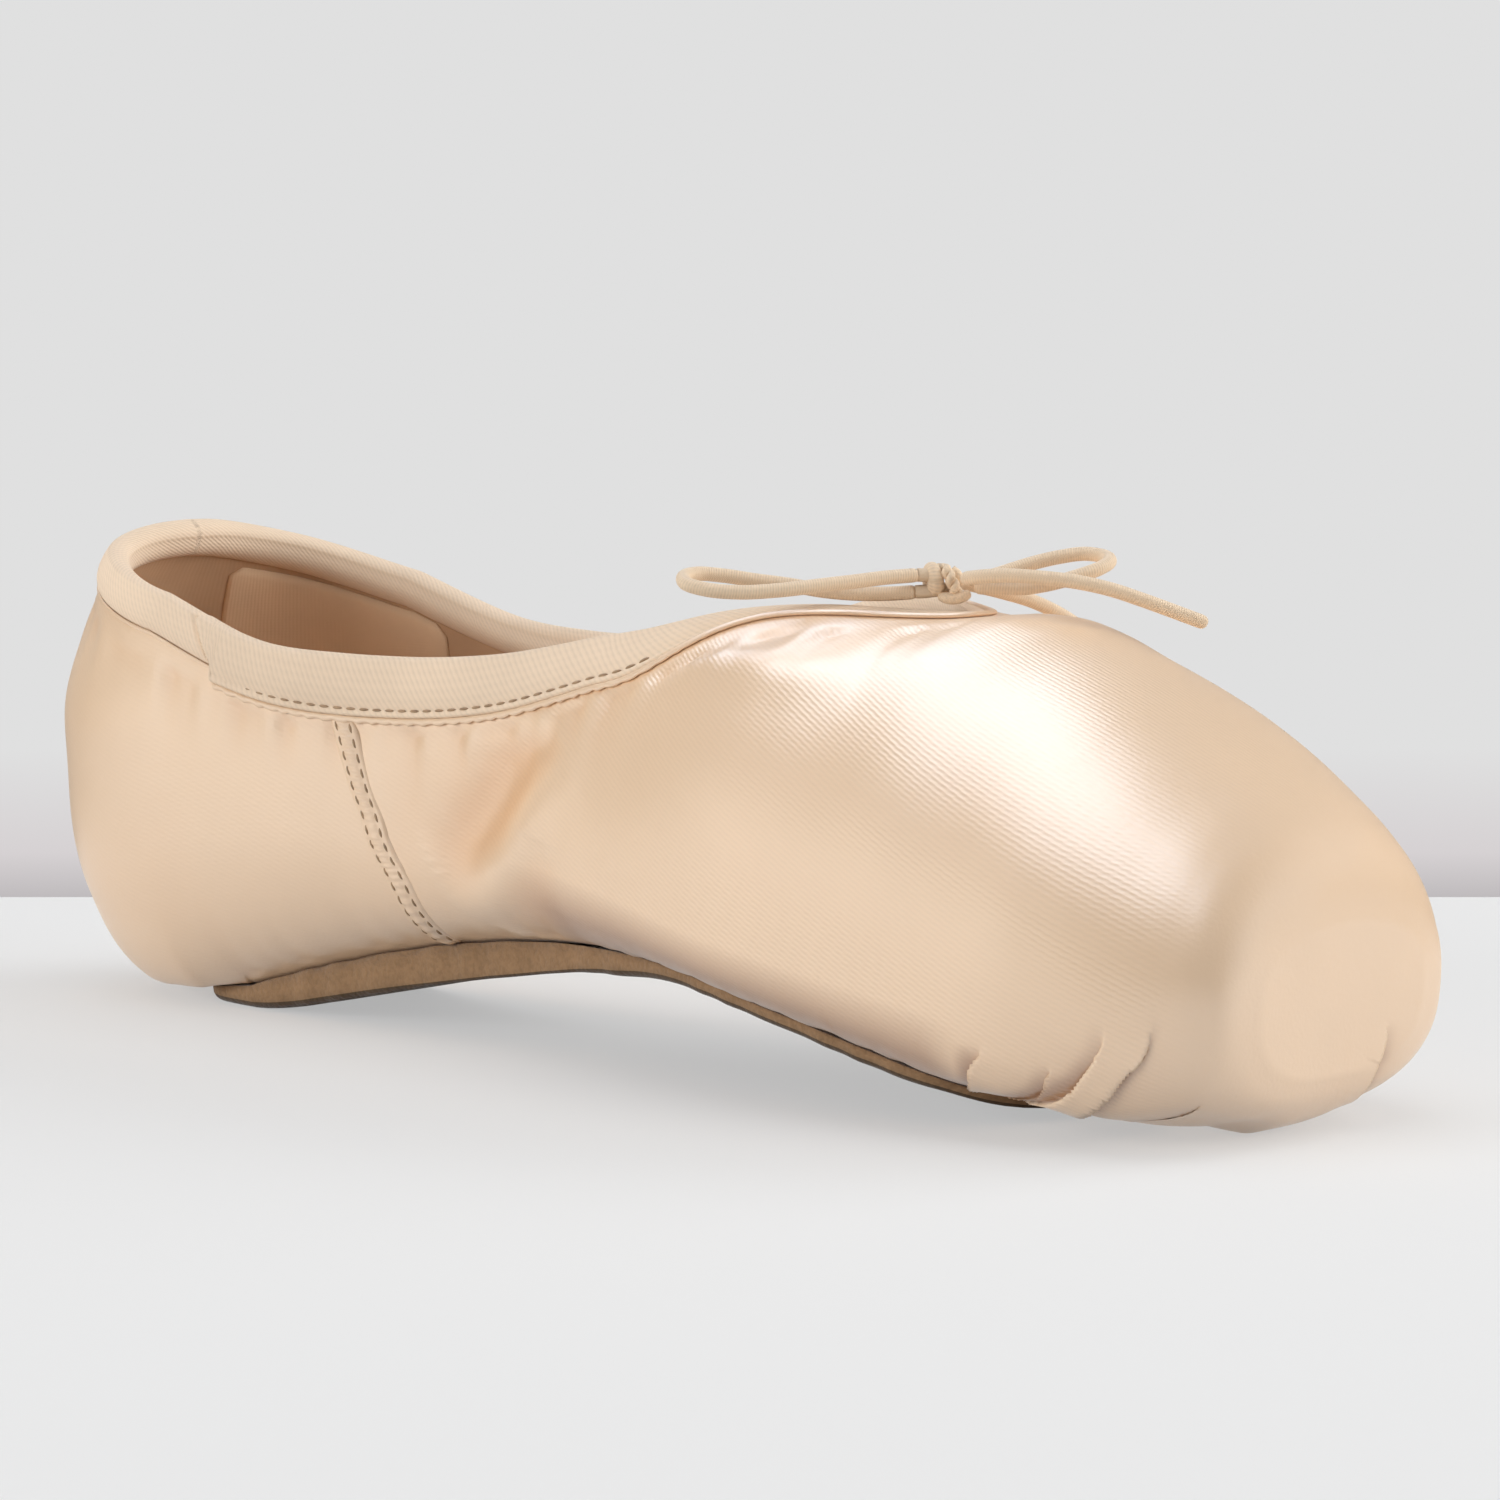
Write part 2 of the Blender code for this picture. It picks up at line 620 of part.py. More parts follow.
def build_collar_piping():
    """The satin's rolled edge, lying along the foot of the binding."""
    along = collar_stations(COLLAR_STATIONS)
    depth = BINDING_DEPTH + GAP + PIPING_RADIUS
    point, normal = walk_down(along, depth)
    _, _, down = collar_frame(along)
    across = unit(down - normal * (down * normal).sum(-1, keepdims=True))
    across[[0, -1], 1] = 0.0
    middle = point + normal * (GAP + PIPING_RADIUS)
    columns = []
    for i in range(PIPING_SIDES):
        turn = 2 * math.pi * i / PIPING_SIDES
        columns.append(middle + PIPING_RADIUS * (normal * math.cos(turn) + across * math.sin(turn)))
    rows = np.stack(columns, 1)
    rows[[0, -1], :, 1] = 0.0
    made = add_mesh("collar_piping", closed_loft(rows, end_caps=False), SATIN)
    mirror_across(made)
    return made


def seam_strip():
    """The near side seam, a low band from under the piping down to the outsole's edge."""
    rings = []
    for share in np.linspace(0.0, 1.0, SEAM_ROWS + 1):
        along = float(column(SEAM, "along", share))
        angle = float(column(SEAM, "angle", share))
        cross = np.array([-SEAM_HALF_WIDTH, 0.0, SEAM_HALF_WIDTH])
        point = last_point(along + cross, angle)
        normal = outward(along + cross, angle)
        under = point + normal * GAP
        over = point[::-1] + normal[::-1] * (GAP + SEAM_THICKNESS)
        rings.append([*under, *over])
    return rings


def build_side_seams():
    flip = np.array([1.0, -1.0, 1.0])
    for name, side in (("side_seam_near", 1.0), ("side_seam_far", -1.0)):
        rings = [[point if side > 0 else point * flip for point in ring] for ring in seam_strip()]
        add_mesh(name, closed_loft(rings), SATIN)


def smooth_route(route, step):
    """Points at even steps along a smooth curve through the route's own points."""
    points = np.array(route, float)
    run = np.concatenate([[0.0], np.cumsum(np.linalg.norm(np.diff(points, axis=0), axis=1))])
    fine = np.linspace(0.0, run[-1], CURVE_SAMPLES)
    curve = np.stack([smooth_between(run, points[:, axis], fine) for axis in range(3)], -1)
    length = np.concatenate([[0.0], np.cumsum(np.linalg.norm(np.diff(curve, axis=0), axis=1))])
    places = np.linspace(0.0, length[-1], int(round(length[-1] / step)) + 1)
    return np.stack([np.interp(places, length, curve[:, axis]) for axis in range(3)], -1)


def build_cord(name, route):
    """A free stretch of the drawstring, as a tube."""
    data = bpy.data.curves.new(name, "CURVE")
    data.dimensions = "3D"
    data.bevel_depth = CORD_DIAMETER / 2 * MM
    data.bevel_resolution = CORD_BEVEL_RESOLUTION
    data.use_fill_caps = True
    points = smooth_route(route, CORD_STEP)
    spline = data.splines.new("POLY")
    spline.points.add(len(points) - 1)
    for target, point in zip(spline.points, points):
        target.co = (*(point * MM), 1.0)
    spline.use_smooth = True
    return add_object(name, data, CORD)


def build_bow():
    """The drawstring's bow over the throat: a knot, two loops and two ends."""
    build_cord("bow_loop_near", BOW_LOOP_NEAR)
    build_cord("bow_loop_far", BOW_LOOP_FAR)
    build_cord("bow_tail_front", BOW_TAIL_FRONT)
    build_cord("bow_tail_far", BOW_TAIL_FAR)
    mesh = bmesh.new()
    bmesh.ops.create_icosphere(mesh, subdivisions=KNOT_SUBDIVISIONS, radius=1.0)
    bmesh.ops.scale(mesh, vec=KNOT_RADII, verts=mesh.verts)
    bmesh.ops.translate(mesh, vec=KNOT_CENTRE, verts=mesh.verts)
    add_mesh("bow_knot", mesh, CORD)


def main():
    for existing in list(bpy.data.objects):
        bpy.data.objects.remove(existing, do_unlink=True)
    build_upper()
    build_outsole()
    build_insole()
    build_collar_binding()
    build_collar_piping()
    build_side_seams()
    build_bow()


if __name__ == "__main__":
    main()
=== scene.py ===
"""The looks of a pointe shoe: satin upper, twill collar binding, suede outsole and the drawstring's bow.

Sizes and tables are in millimetres on the shoe's last, as in the part's source. A place on the last is
(place, angle): place runs from the back of the heel to the platform's edge and on to the middle of its face,
and angle runs from -90 at the middle of the underside to 90 at the crown.
"""

import math
from collections import namedtuple

import bmesh
import bpy
import numpy as np
from mathutils import Matrix, Vector


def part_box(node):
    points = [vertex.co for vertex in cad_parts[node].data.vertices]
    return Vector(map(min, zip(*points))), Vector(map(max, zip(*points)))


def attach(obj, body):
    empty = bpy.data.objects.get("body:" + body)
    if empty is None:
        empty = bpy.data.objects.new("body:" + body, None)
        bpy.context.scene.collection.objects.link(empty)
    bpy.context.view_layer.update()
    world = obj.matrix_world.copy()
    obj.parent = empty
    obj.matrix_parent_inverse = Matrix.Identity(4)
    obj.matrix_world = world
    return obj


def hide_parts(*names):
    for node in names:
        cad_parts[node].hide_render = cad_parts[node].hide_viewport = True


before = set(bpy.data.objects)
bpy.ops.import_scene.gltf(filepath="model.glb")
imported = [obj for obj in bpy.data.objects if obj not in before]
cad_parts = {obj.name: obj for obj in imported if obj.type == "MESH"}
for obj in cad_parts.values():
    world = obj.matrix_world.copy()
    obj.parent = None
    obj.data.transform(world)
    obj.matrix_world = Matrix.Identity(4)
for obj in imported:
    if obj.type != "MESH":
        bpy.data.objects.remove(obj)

bl_info = {
    "name": "Pointe Shoe Looks",
    "version": (1, 0, 0),
    "blender": (4, 5, 0),
    "location": "3D View > Sidebar > Pointe Shoe",
    "description": "Dresses the solids of a pointe shoe in satin, twill, suede and cord",
    "category": "Object",
}

MM = 0.001

# Driving dimensions of the last
HEEL_TURN = 36.0
HEEL_DEPTH = 38.5
HEEL_PLAN_POWER = 2.2
HEEL_SECTION = {"widest_z": 42.0, "crown_z": 85.0, "under_z": -4.0, "low_power": 2.3, "high_power": 1.9}
PLATFORM_LEAN = 0.045
PLATFORM_LEAN_START = 192.0
PLATFORM_LEAN_END = 238.0
PLATFORM_LEAN_Z = 19.0
UPPER_LOW, UPPER_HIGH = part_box("upper")
MIDDLE_X = HEEL_TURN - HEEL_DEPTH - UPPER_LOW.x / MM

Section = namedtuple("Section", "place x half_width widest_z crown_z under_z floor_z low_power high_power")
SECTIONS = (
    Section(36.0, 36.0, 32.0, 29.0, 98.5, -1.5, 3.1, 2.5, 2.2),
    Section(62.0, 62.0, 31.0, 32.0, 97.5, 6.0, 6.4, 2.4, 2.2),
    Section(87.0, 87.0, 28.5, 32.0, 90.0, 12.2, 11.0, 2.5, 2.2),
    Section(107.0, 107.0, 29.5, 32.5, 77.5, 15.2, 14.0, 2.6, 2.2),
    Section(132.0, 132.0, 34.5, 30.5, 72.5, 16.0, 15.0, 2.8, 2.1),
    Section(162.0, 162.0, 39.5, 25.5, 70.3, 12.2, 11.0, 3.0, 2.75),
    Section(177.0, 177.0, 40.2, 23.5, 69.1, 9.4, 8.2, 3.1, 2.5),
    Section(192.0, 192.0, 40.0, 21.5, 69.2, 6.2, 5.0, 3.2, 2.4),
    Section(203.0, 203.0, 39.1, 20.0, 64.9, 3.6, 2.5, 3.2, 2.3),
    Section(214.0, 214.0, 37.3, 19.2, 58.9, 0.9, 0.0, 3.2, 2.3),
    Section(222.0, 221.8, 35.3, 19.0, 54.4, -0.6, 0.0, 3.1, 2.3),
    Section(230.0, 229.0, 32.8, 19.2, 49.9, -0.6, 0.0, 3.0, 2.25),
    Section(238.0, 235.3, 29.9, 19.6, 45.5, 0.9, 0.0, 2.9, 2.25),
    Section(245.0, 239.9, 27.0, 20.0, 41.1, 3.0, 0.0, 2.8, 2.25),
    Section(251.0, 242.6, 23.4, 20.2, 36.0, 5.8, 0.0, 2.7, 2.3),
    Section(256.0, 243.7, 18.8, 20.4, 30.5, 9.2, 0.0, 2.6, 2.4),
)
PLATFORM_PLACE = SECTIONS[-1].place
FACE_REACH = 18.0
LAST_PLACE = PLATFORM_PLACE + FACE_REACH

CollarPoint = namedtuple("CollarPoint", "along height")
COLLAR = (
    CollarPoint(0.0, 74.2),
    CollarPoint(5.0, 74.0),
    CollarPoint(20.0, 71.2),
    CollarPoint(36.0, 65.6),
    CollarPoint(62.0, 58.4),
    CollarPoint(87.0, 57.4),
    CollarPoint(107.0, 59.2),
    CollarPoint(127.0, 63.4),
)
SHOULDER = 127.0
THROAT = 177.0
THROAT_SIDE_POWER = 1.35
THROAT_TIP_POWER = 0.78

# The gap in the upper under the foot, which insole and outsole close
OPENING_REAR = 44.0
OPENING_FRONT = 184.0
OPENING_HALF_WIDTH = 12.0
OPENING_END_ROUND = 24.0

OutsolePoint = namedtuple("OutsolePoint", "x half_width bottom_z")
OUTSOLE = (
    OutsolePoint(28.0, 17.0, 0.0),
    OutsolePoint(42.0, 18.0, 0.0),
    OutsolePoint(62.0, 18.0, 3.6),
    OutsolePoint(87.0, 17.0, 9.0),
    OutsolePoint(107.0, 17.5, 12.2),
    OutsolePoint(132.0, 22.0, 13.4),
    OutsolePoint(162.0, 28.0, 10.0),
    OutsolePoint(192.0, 29.0, 4.2),
    OutsolePoint(207.0, 26.0, 1.6),
)
OUTSOLE_END_ROUND = 15.0
PLAN_END_POWER = 0.8
INSOLE_REAR = 22.0
INSOLE_FRONT = 200.0
INSOLE_SHARE = 0.66
INSOLE_THICKNESS = 1.6
INSOLE_END_ROUND = 22.0

WALL = 2.0
THINNEST_WALL = 0.9
GAP = 0.3
LINING_GAP = 0.5
SOLE_GAP = 0.45
INSOLE_GAP = 0.7
BINDING_DEPTH = 7.5
PIPING_RADIUS = 0.5

SeamPoint = namedtuple("SeamPoint", "share along angle")
SEAM = (
    SeamPoint(0.0, 76.3, 14.6),
    SeamPoint(0.3, 80.3, 6.0),
    SeamPoint(0.6, 85.0, -4.0),
    SeamPoint(0.8, 88.0, -20.0),
    SeamPoint(1.0, 88.5, -58.0),
)
SEAM_HALF_WIDTH = 2.6

# The bow's routes, the same points as in the part's source
RoutePoint = namedtuple("RoutePoint", "x y z")
BOW_LOOP_NEAR = (
    RoutePoint(171.3, -4.4, 74.9),
    RoutePoint(169.2, -8.7, 74.7),
    RoutePoint(167.2, -13.7, 74.3),
    RoutePoint(165.0, -18.9, 73.9),
    RoutePoint(162.1, -24.3, 73.4),
    RoutePoint(158.6, -28.9, 73.2),
    RoutePoint(155.2, -32.1, 73.6),
    RoutePoint(152.0, -32.9, 74.3),
    RoutePoint(149.8, -31.1, 75.0),
    RoutePoint(149.2, -27.7, 75.3),
    RoutePoint(150.8, -23.9, 74.9),
    RoutePoint(153.6, -19.9, 74.1),
    RoutePoint(156.8, -16.1, 73.4),
    RoutePoint(160.2, -12.5, 72.5),
    RoutePoint(163.8, -9.4, 72.1),
    RoutePoint(167.2, -6.5, 72.1),
    RoutePoint(170.8, -4.2, 72.4),
)
BOW_LOOP_FAR = (
    RoutePoint(175.1, 2.4, 74.2),
    RoutePoint(175.1, 4.9, 74.1),
    RoutePoint(175.6, 7.7, 74.4),
    RoutePoint(176.6, 10.5, 75.1),
    RoutePoint(178.3, 13.5, 76.0),
    RoutePoint(180.6, 16.5, 76.8),
    RoutePoint(183.6, 18.9, 77.3),
    RoutePoint(186.8, 19.4, 77.0),
    RoutePoint(189.2, 17.5, 76.5),
    RoutePoint(189.8, 14.3, 75.7),
    RoutePoint(188.4, 10.9, 74.7),
    RoutePoint(186.0, 7.9, 73.7),
    RoutePoint(183.2, 5.3, 73.1),
    RoutePoint(180.2, 3.1, 73.1),
    RoutePoint(177.2, 1.4, 73.1),
)
BOW_TAIL_FRONT = (
    RoutePoint(177.4, -1.6, 74.5),
    RoutePoint(180.0, -1.3, 74.9),
    RoutePoint(183.4, 0.1, 75.2),
    RoutePoint(187.6, 2.9, 75.0),
    RoutePoint(191.4, 6.5, 74.4),
    RoutePoint(194.6, 10.4, 73.3),
    RoutePoint(197.4, 14.7, 71.6),
    RoutePoint(200.0, 19.2, 69.7),
    RoutePoint(202.4, 23.4, 67.9),
)
BOW_TAIL_FAR = (
    RoutePoint(171.7, 2.3, 73.8),
    RoutePoint(170.8, 6.0, 73.2),
    RoutePoint(171.2, 10.0, 72.3),
    RoutePoint(172.4, 14.2, 71.2),
    RoutePoint(174.2, 18.4, 69.8),
    RoutePoint(176.2, 22.4, 67.7),
    RoutePoint(178.2, 26.0, 65.0),
    RoutePoint(180.0, 29.0, 62.4),
    RoutePoint(181.4, 31.6, 59.8),
)
KNOT_CENTRE = (173.5, -1.2, 74.2)
CORD_DIAMETER = 2.1

# A pleat is a folded edge: on one side of its line the satin stands up as a lip and lies over the dip on the
# other. A line runs down or towards the heel; its lip is on the toe's side or below where side is 1.
Pleat = namedtuple("Pleat", "points side lip dip reach overhang")
PLEATS = (
    Pleat(
        ((211.9, -5.0), (211.4, -11.8), (210.0, -18.0), (209.2, -25.0), (207.2, -36.3), (205.2, -50.0)),
        1, 0.9, 1.2, 3.5, 0.9,
    ),
    Pleat(
        ((222.0, -7.5), (222.0, -11.0), (221.8, -14.0), (221.0, -19.4), (219.2, -26.4), (216.6, -32.6), (211.5, -42.0)),
        1, 0.55, 0.9, 3.0, 0.8,
    ),
    Pleat(
        ((230.4, 1.0), (230.4, -2.3), (230.1, -5.1), (229.1, -9.7), (227.2, -14.8), (224.3, -22.8), (220.5, -32.0),
         (216.0, -41.7), (211.5, -52.0)),
        1, 0.55, 0.9, 3.5, 0.8,
    ),
    Pleat(
        ((238.4, 2.0), (237.6, -2.0), (236.2, -6.5), (234.0, -11.8), (231.2, -19.0), (227.4, -28.6), (222.0, -41.1),
         (218.0, -50.0)),
        -1, 0.4, 0.9, 2.5, 0.7,
    ),
    Pleat(
        ((244.2, -34.0), (242.9, -39.8), (239.8, -46.6), (236.3, -50.2), (233.0, -49.8), (229.8, -49.5)),
        1, 0.3, 0.35, 2.5, 0.3,
    ),
)
FAR_PLEATS = (
    Pleat(((262.5, -30.0), (261.3, -41.0), (257.8, -61.0), (255.4, -69.0), (252.6, -73.5), (250.1, -76.0), (247.0, -78.0)), 1, 0.35, 0.8, 3.0, 0.4),
)
PLEAT_SNAP = 0.55
TOE_LIFT = 1.8
TOE_GROWTH = 1.35

# A soft crease is a shallow trough, or a ridge where its height is positive
Crease = namedtuple("Crease", "points width height")
CREASES = (
    Crease(((122.0, 27.0), (117.5, 19.0), (109.0, 7.0), (102.0, -1.0), (96.0, -10.0)), 6.5, -2.0),
    Crease(((129.0, 20.0), (123.0, 13.0), (113.5, -2.5), (106.5, -19.0), (99.0, -34.0)), 4.5, 1.0),
    Crease(((121.0, 4.0), (119.0, -8.0), (116.0, -24.0), (112.0, -40.0), (108.0, -54.0)), 7.0, -1.0),
    Crease(((247.5, 18.0), (248.9, 4.0), (248.9, -8.0), (247.2, -20.2), (243.8, -34.0)), 2.2, 0.3),
    Crease(((93.0, 12.0), (90.0, 2.0), (90.0, -12.0)), 5.0, -0.3),
    Crease(((136.0, 44.0), (147.0, 47.5), (158.0, 49.5), (169.0, 51.5), (179.0, 55.0)), 4.5, 1.5),
)

# The binding's overlapped ends are joined on each side of the heel; round the back it is narrower and plain
JOINT_TOP = 46.0
JOINT_FOOT = 51.8
PLAIN_SHARE = 0.72

# The maker's patch inside the heel, left bare: its reach along the foot, its place under the collar's edge and its height
PATCH_REAR = 10.0
PATCH_FRONT = 43.0
PATCH_BELOW_COLLAR = 5.5
PATCH_HEIGHT = 19.0

# Fineness of the meshes
TOE_STEP = 0.56
BODY_STEP = 1.15
SIDE_COLUMNS = 117
INNER_STRIDE = 3
LOW_SIDE_DENSITY = 1.1
SMALL = 1e-4


class SatinSettings(bpy.types.PropertyGroup):
    colour: bpy.props.FloatVectorProperty(
        name="Satin",
        description="Colour of the satin",
        subtype="COLOR",
        size=3,
        min=0.0,
        max=1.0,
        default=(0.86, 0.60, 0.375),
    )
    roughness: bpy.props.FloatProperty(
        name="Roughness",
        description="How soft the satin's shine is",
        min=0.1,
        max=1.0,
        default=0.38,
    )
    thread: bpy.props.FloatVectorProperty(
        name="Thread",
        description="Colour of the sewing thread",
        subtype="COLOR",
        size=3,
        min=0.0,
        max=1.0,
        default=(0.40, 0.27, 0.165),
    )


class CollarSettings(bpy.types.PropertyGroup):
    colour: bpy.props.FloatVectorProperty(
        name="Twill",
        description="Colour of the collar's twill binding",
        subtype="COLOR",
        size=3,
        min=0.0,
        max=1.0,
        default=(0.89, 0.70, 0.52),
    )
    stitch_length: bpy.props.FloatProperty(
        name="Stitch length",
        description="Length of one stitch",
        subtype="DISTANCE",
        unit="LENGTH",
        min=0.001,
        max=0.005,
        default=0.0018,
    )
    stitch_pitch: bpy.props.FloatProperty(
        name="Stitch pitch",
        description="Distance from one stitch to the next",
        subtype="DISTANCE",
        unit="LENGTH",
        min=0.0015,
        max=0.008,
        default=0.0026,
    )


class SoleSettings(bpy.types.PropertyGroup):
    suede: bpy.props.FloatVectorProperty(
        name="Suede",
        description="Colour of the suede outsole",
        subtype="COLOR",
        size=3,
        min=0.0,
        max=1.0,
        default=(0.335, 0.205, 0.110),
    )
    lining: bpy.props.FloatVectorProperty(
        name="Lining",
        description="Colour of the canvas lining and insole",
        subtype="COLOR",
        size=3,
        min=0.0,
        max=1.0,
        default=(0.60, 0.385, 0.235),
    )
    patch: bpy.props.FloatVectorProperty(
        name="Patch",
        description="Colour of the bare patch on the lining",
        subtype="COLOR",
        size=3,
        min=0.0,
        max=1.0,
        default=(0.90, 0.64, 0.42),
    )


class BowSettings(bpy.types.PropertyGroup):
    colour: bpy.props.FloatVectorProperty(
        name="Cord",
        description="Colour of the drawstring",
        subtype="COLOR",
        size=3,
        min=0.0,
        max=1.0,
        default=(0.80, 0.62, 0.435),
    )
    diameter: bpy.props.FloatProperty(
        name="Cord diameter",
        description="Thickness of the drawstring",
        subtype="DISTANCE",
        unit="LENGTH",
        min=0.0015,
        max=0.003,
        default=CORD_DIAMETER * MM,
    )


class StageSettings(bpy.types.PropertyGroup):
    azimuth: bpy.props.FloatProperty(
        name="Azimuth",
        description="The camera's direction round the shoe, from its near side towards the toe",
        subtype="ANGLE",
        unit="ROTATION",
        default=math.radians(42.0),
    )
    elevation: bpy.props.FloatProperty(
        name="Elevation",
        description="The camera's height over the floor, as an angle",
        subtype="ANGLE",
        unit="ROTATION",
        default=math.radians(6.25),
    )
    distance: bpy.props.FloatProperty(
        name="Distance",
        description="How far the camera stands from the shoe",
        subtype="DISTANCE",
        unit="LENGTH",
        min=0.3,
        default=0.9,
    )
    light: bpy.props.FloatProperty(
        name="Light",
        description="Strength of all lamps",
        min=0.0,
        default=1.0,
    )


def smooth_between(places, values, at):
    """A smooth curve through the values, with slopes weighted by the nearer side."""
    places = np.asarray(places, float)
    values = np.asarray(values, float)
    at = np.asarray(at, float)
    spans = np.diff(places)
    rises = np.diff(values) / spans
    slopes = np.empty(len(places))
    slopes[0] = rises[0]
    slopes[-1] = rises[-1]
    slopes[1:-1] = (rises[:-1] * spans[1:] + rises[1:] * spans[:-1]) / (spans[:-1] + spans[1:])
    span = np.clip(np.searchsorted(places, at) - 1, 0, len(spans) - 1)
    width = spans[span]
    t = np.clip((at - places[span]) / width, 0.0, 1.0)
    start = (2 * t**3 - 3 * t**2 + 1) * values[span]
    leave = (t**3 - 2 * t**2 + t) * width * slopes[span]
    end = (3 * t**2 - 2 * t**3) * values[span + 1]
    arrive = (t**3 - t**2) * width * slopes[span + 1]
    return start + leave + end + arrive


def column(table, name, at):
    """The named column of a table, read smoothly at a place in its first column."""
    return smooth_between([row[0] for row in table], [getattr(row, name) for row in table], at)


def section_at(along):
    """The last's section: straight ones along the foot, turning to the heel's own round its back.

    Past the platform's place the section shrinks to the middle of its flat face.
    """
    along = np.asarray(along, float)
    place = np.clip(along, HEEL_TURN, PLATFORM_PLACE)
    share = np.clip((HEEL_TURN - along) / HEEL_TURN, 0.0, 1.0)
    mix = np.sin(share * math.pi / 2) ** 2
    section = {name: column(SECTIONS, name, place) for name in Section._fields[1:]}
    for name, value in HEEL_SECTION.items():
        section[name] = section[name] * (1 - mix) + value * mix
    section["floor_z"] = np.maximum(section["floor_z"], 0.0)
    size = 1 - np.clip((along - PLATFORM_PLACE) / FACE_REACH, 0.0, 1.0)
    middle_z = (section["crown_z"] + section["under_z"]) / 2
    for name in ("crown_z", "under_z", "widest_z"):
        section[name] = middle_z + (section[name] - middle_z) * size
    section["half_width"] = section["half_width"] * size
    return section, share * math.pi / 2


def ring_point(section, angle):
    """Half width as a share, and height, of a point on a section."""
    turn = np.radians(angle)
    power = np.where(angle < 0, section["low_power"], section["high_power"])
    share = np.maximum(np.cos(turn), 0.0) ** (2 / power)
    height = np.abs(np.sin(turn)) ** (2 / power)
    below = section["widest_z"] - (section["widest_z"] - section["under_z"]) * height
    above = section["widest_z"] + (section["crown_z"] - section["widest_z"]) * height
    return share, np.where(angle < 0, np.maximum(below, section["floor_z"]), above)


def lean(x, z):
    """The platform leans a little back at its foot."""
    share = np.clip((x - PLATFORM_LEAN_START) / (PLATFORM_LEAN_END - PLATFORM_LEAN_START), 0.0, 1.0)
    return x + PLATFORM_LEAN * share * (z - PLATFORM_LEAN_Z)


def last_point(along, angle):
    """A point on the near side of the last's outer surface."""
    along, angle = np.broadcast_arrays(np.asarray(along, float), np.asarray(angle, float))
    section, turn = section_at(along)
    share, z = ring_point(section, angle)
    back = np.sin(turn) ** (2 / HEEL_PLAN_POWER)
    side = np.cos(turn) ** (2 / HEEL_PLAN_POWER)
    x = section["x"] - HEEL_DEPTH * share * back
    y = -section["half_width"] * share * side
    return np.stack([lean(x, z), y, z], -1)


def unit(vectors):
    return vectors / np.maximum(np.linalg.norm(vectors, axis=-1, keepdims=True), 1e-9)


def slopes_at(place, angle):
    """How the point moves for a small step along the foot and up the section."""
    step = 0.02
    forward = (last_point(place + step, angle) - last_point(place - step, angle)) / (2 * step)
    upward = (last_point(place, angle + step) - last_point(place, angle - step)) / (2 * step)
    return forward, upward


def outward(place, angle):
    """The outer surface's normal, on the near side."""
    forward, upward = slopes_at(np.clip(place, SMALL, LAST_PLACE - 0.3), angle)
    return unit(np.cross(forward, upward))


def angle_at_height(along, height):
    section, _ = section_at(along)
    share = (height - section["widest_z"]) / (section["crown_z"] - section["widest_z"])
    return np.degrees(np.arcsin(np.clip(share, 0.0, 1.0) ** (section["high_power"] / 2)))


def angle_at_half_width(along, half_width, power_name):
    section, _ = section_at(along)
    share = np.clip(half_width / section["half_width"], 0.0, 1.0)
    return np.degrees(np.arccos(share ** (section[power_name] / 2)))


def collar_angle(along):
    """Where the collar's edge crosses the section, 90 in front of the throat."""
    along = np.asarray(along, float)
    quarter = angle_at_height(along, column(COLLAR, "height", along))
    shoulder_angle = math.radians(float(angle_at_height(SHOULDER, COLLAR[-1].height)))
    section, _ = section_at(SHOULDER)
    shoulder = section["half_width"] * math.cos(shoulder_angle) ** (2 / section["high_power"])
    t = np.clip((along - SHOULDER) / (THROAT - SHOULDER), 0.0, 1.0)
    throat_width = shoulder * (1 - t**THROAT_SIDE_POWER) ** THROAT_TIP_POWER
    throat = angle_at_half_width(np.minimum(along, THROAT), throat_width, "high_power")
    return np.where(along < SHOULDER, quarter, throat)


def round_end(distance, radius):
    """Share of the full width at this distance from a half round end."""
    rest = 1 - np.clip(distance, 0.0, radius) / radius
    return np.sqrt(1 - rest**2)


def opening_angle(along):
    """Where the gap under the foot crosses the section, -90 where there is none."""
    distance = np.minimum(along - OPENING_REAR, OPENING_FRONT - along)
    half_width = OPENING_HALF_WIDTH * round_end(distance, OPENING_END_ROUND)
    return -angle_at_half_width(np.minimum(along, OPENING_FRONT), half_width, "low_power")


def underside(x, y):
    """Height of the last's underside over a place on the plan."""
    x = np.asarray(x, float)
    y = np.abs(np.asarray(y, float))
    behind = np.clip((HEEL_TURN - x) / HEEL_DEPTH, 0.0, 1.0)
    section, _ = section_at(np.maximum(x, HEEL_TURN))
    aside = y / section["half_width"]
    power = HEEL_PLAN_POWER
    share = (behind**power + aside**power) ** (1 / power)
    round_heel = np.arctan2(behind ** (power / 2), np.maximum(aside, SMALL) ** (power / 2))
    section, _ = section_at(np.where(x < HEEL_TURN, HEEL_TURN * (1 - round_heel * 2 / math.pi), x))
    low = section["low_power"]
    drop = (1 - np.clip(share, 0.0, 0.999) ** low) ** (1 / low)
    return np.maximum(section["widest_z"] - (section["widest_z"] - section["under_z"]) * drop, section["floor_z"])


def underside_offset(x, y, distance):
    """The underside moved by a distance along its normal, up for a positive one."""
    step = 0.05
    slope_x = (underside(x + step, y) - underside(x - step, y)) / (2 * step)
    slope_y = (underside(x, y + step) - underside(x, y - step)) / (2 * step)
    return underside(x, y) + distance * np.sqrt(1 + slope_x**2 + slope_y**2)


def plan_half_width(table_width, x, rear, front, end_round):
    ends = round_end(x - rear, end_round) * round_end(front - x, end_round)
    return table_width * ends**PLAN_END_POWER


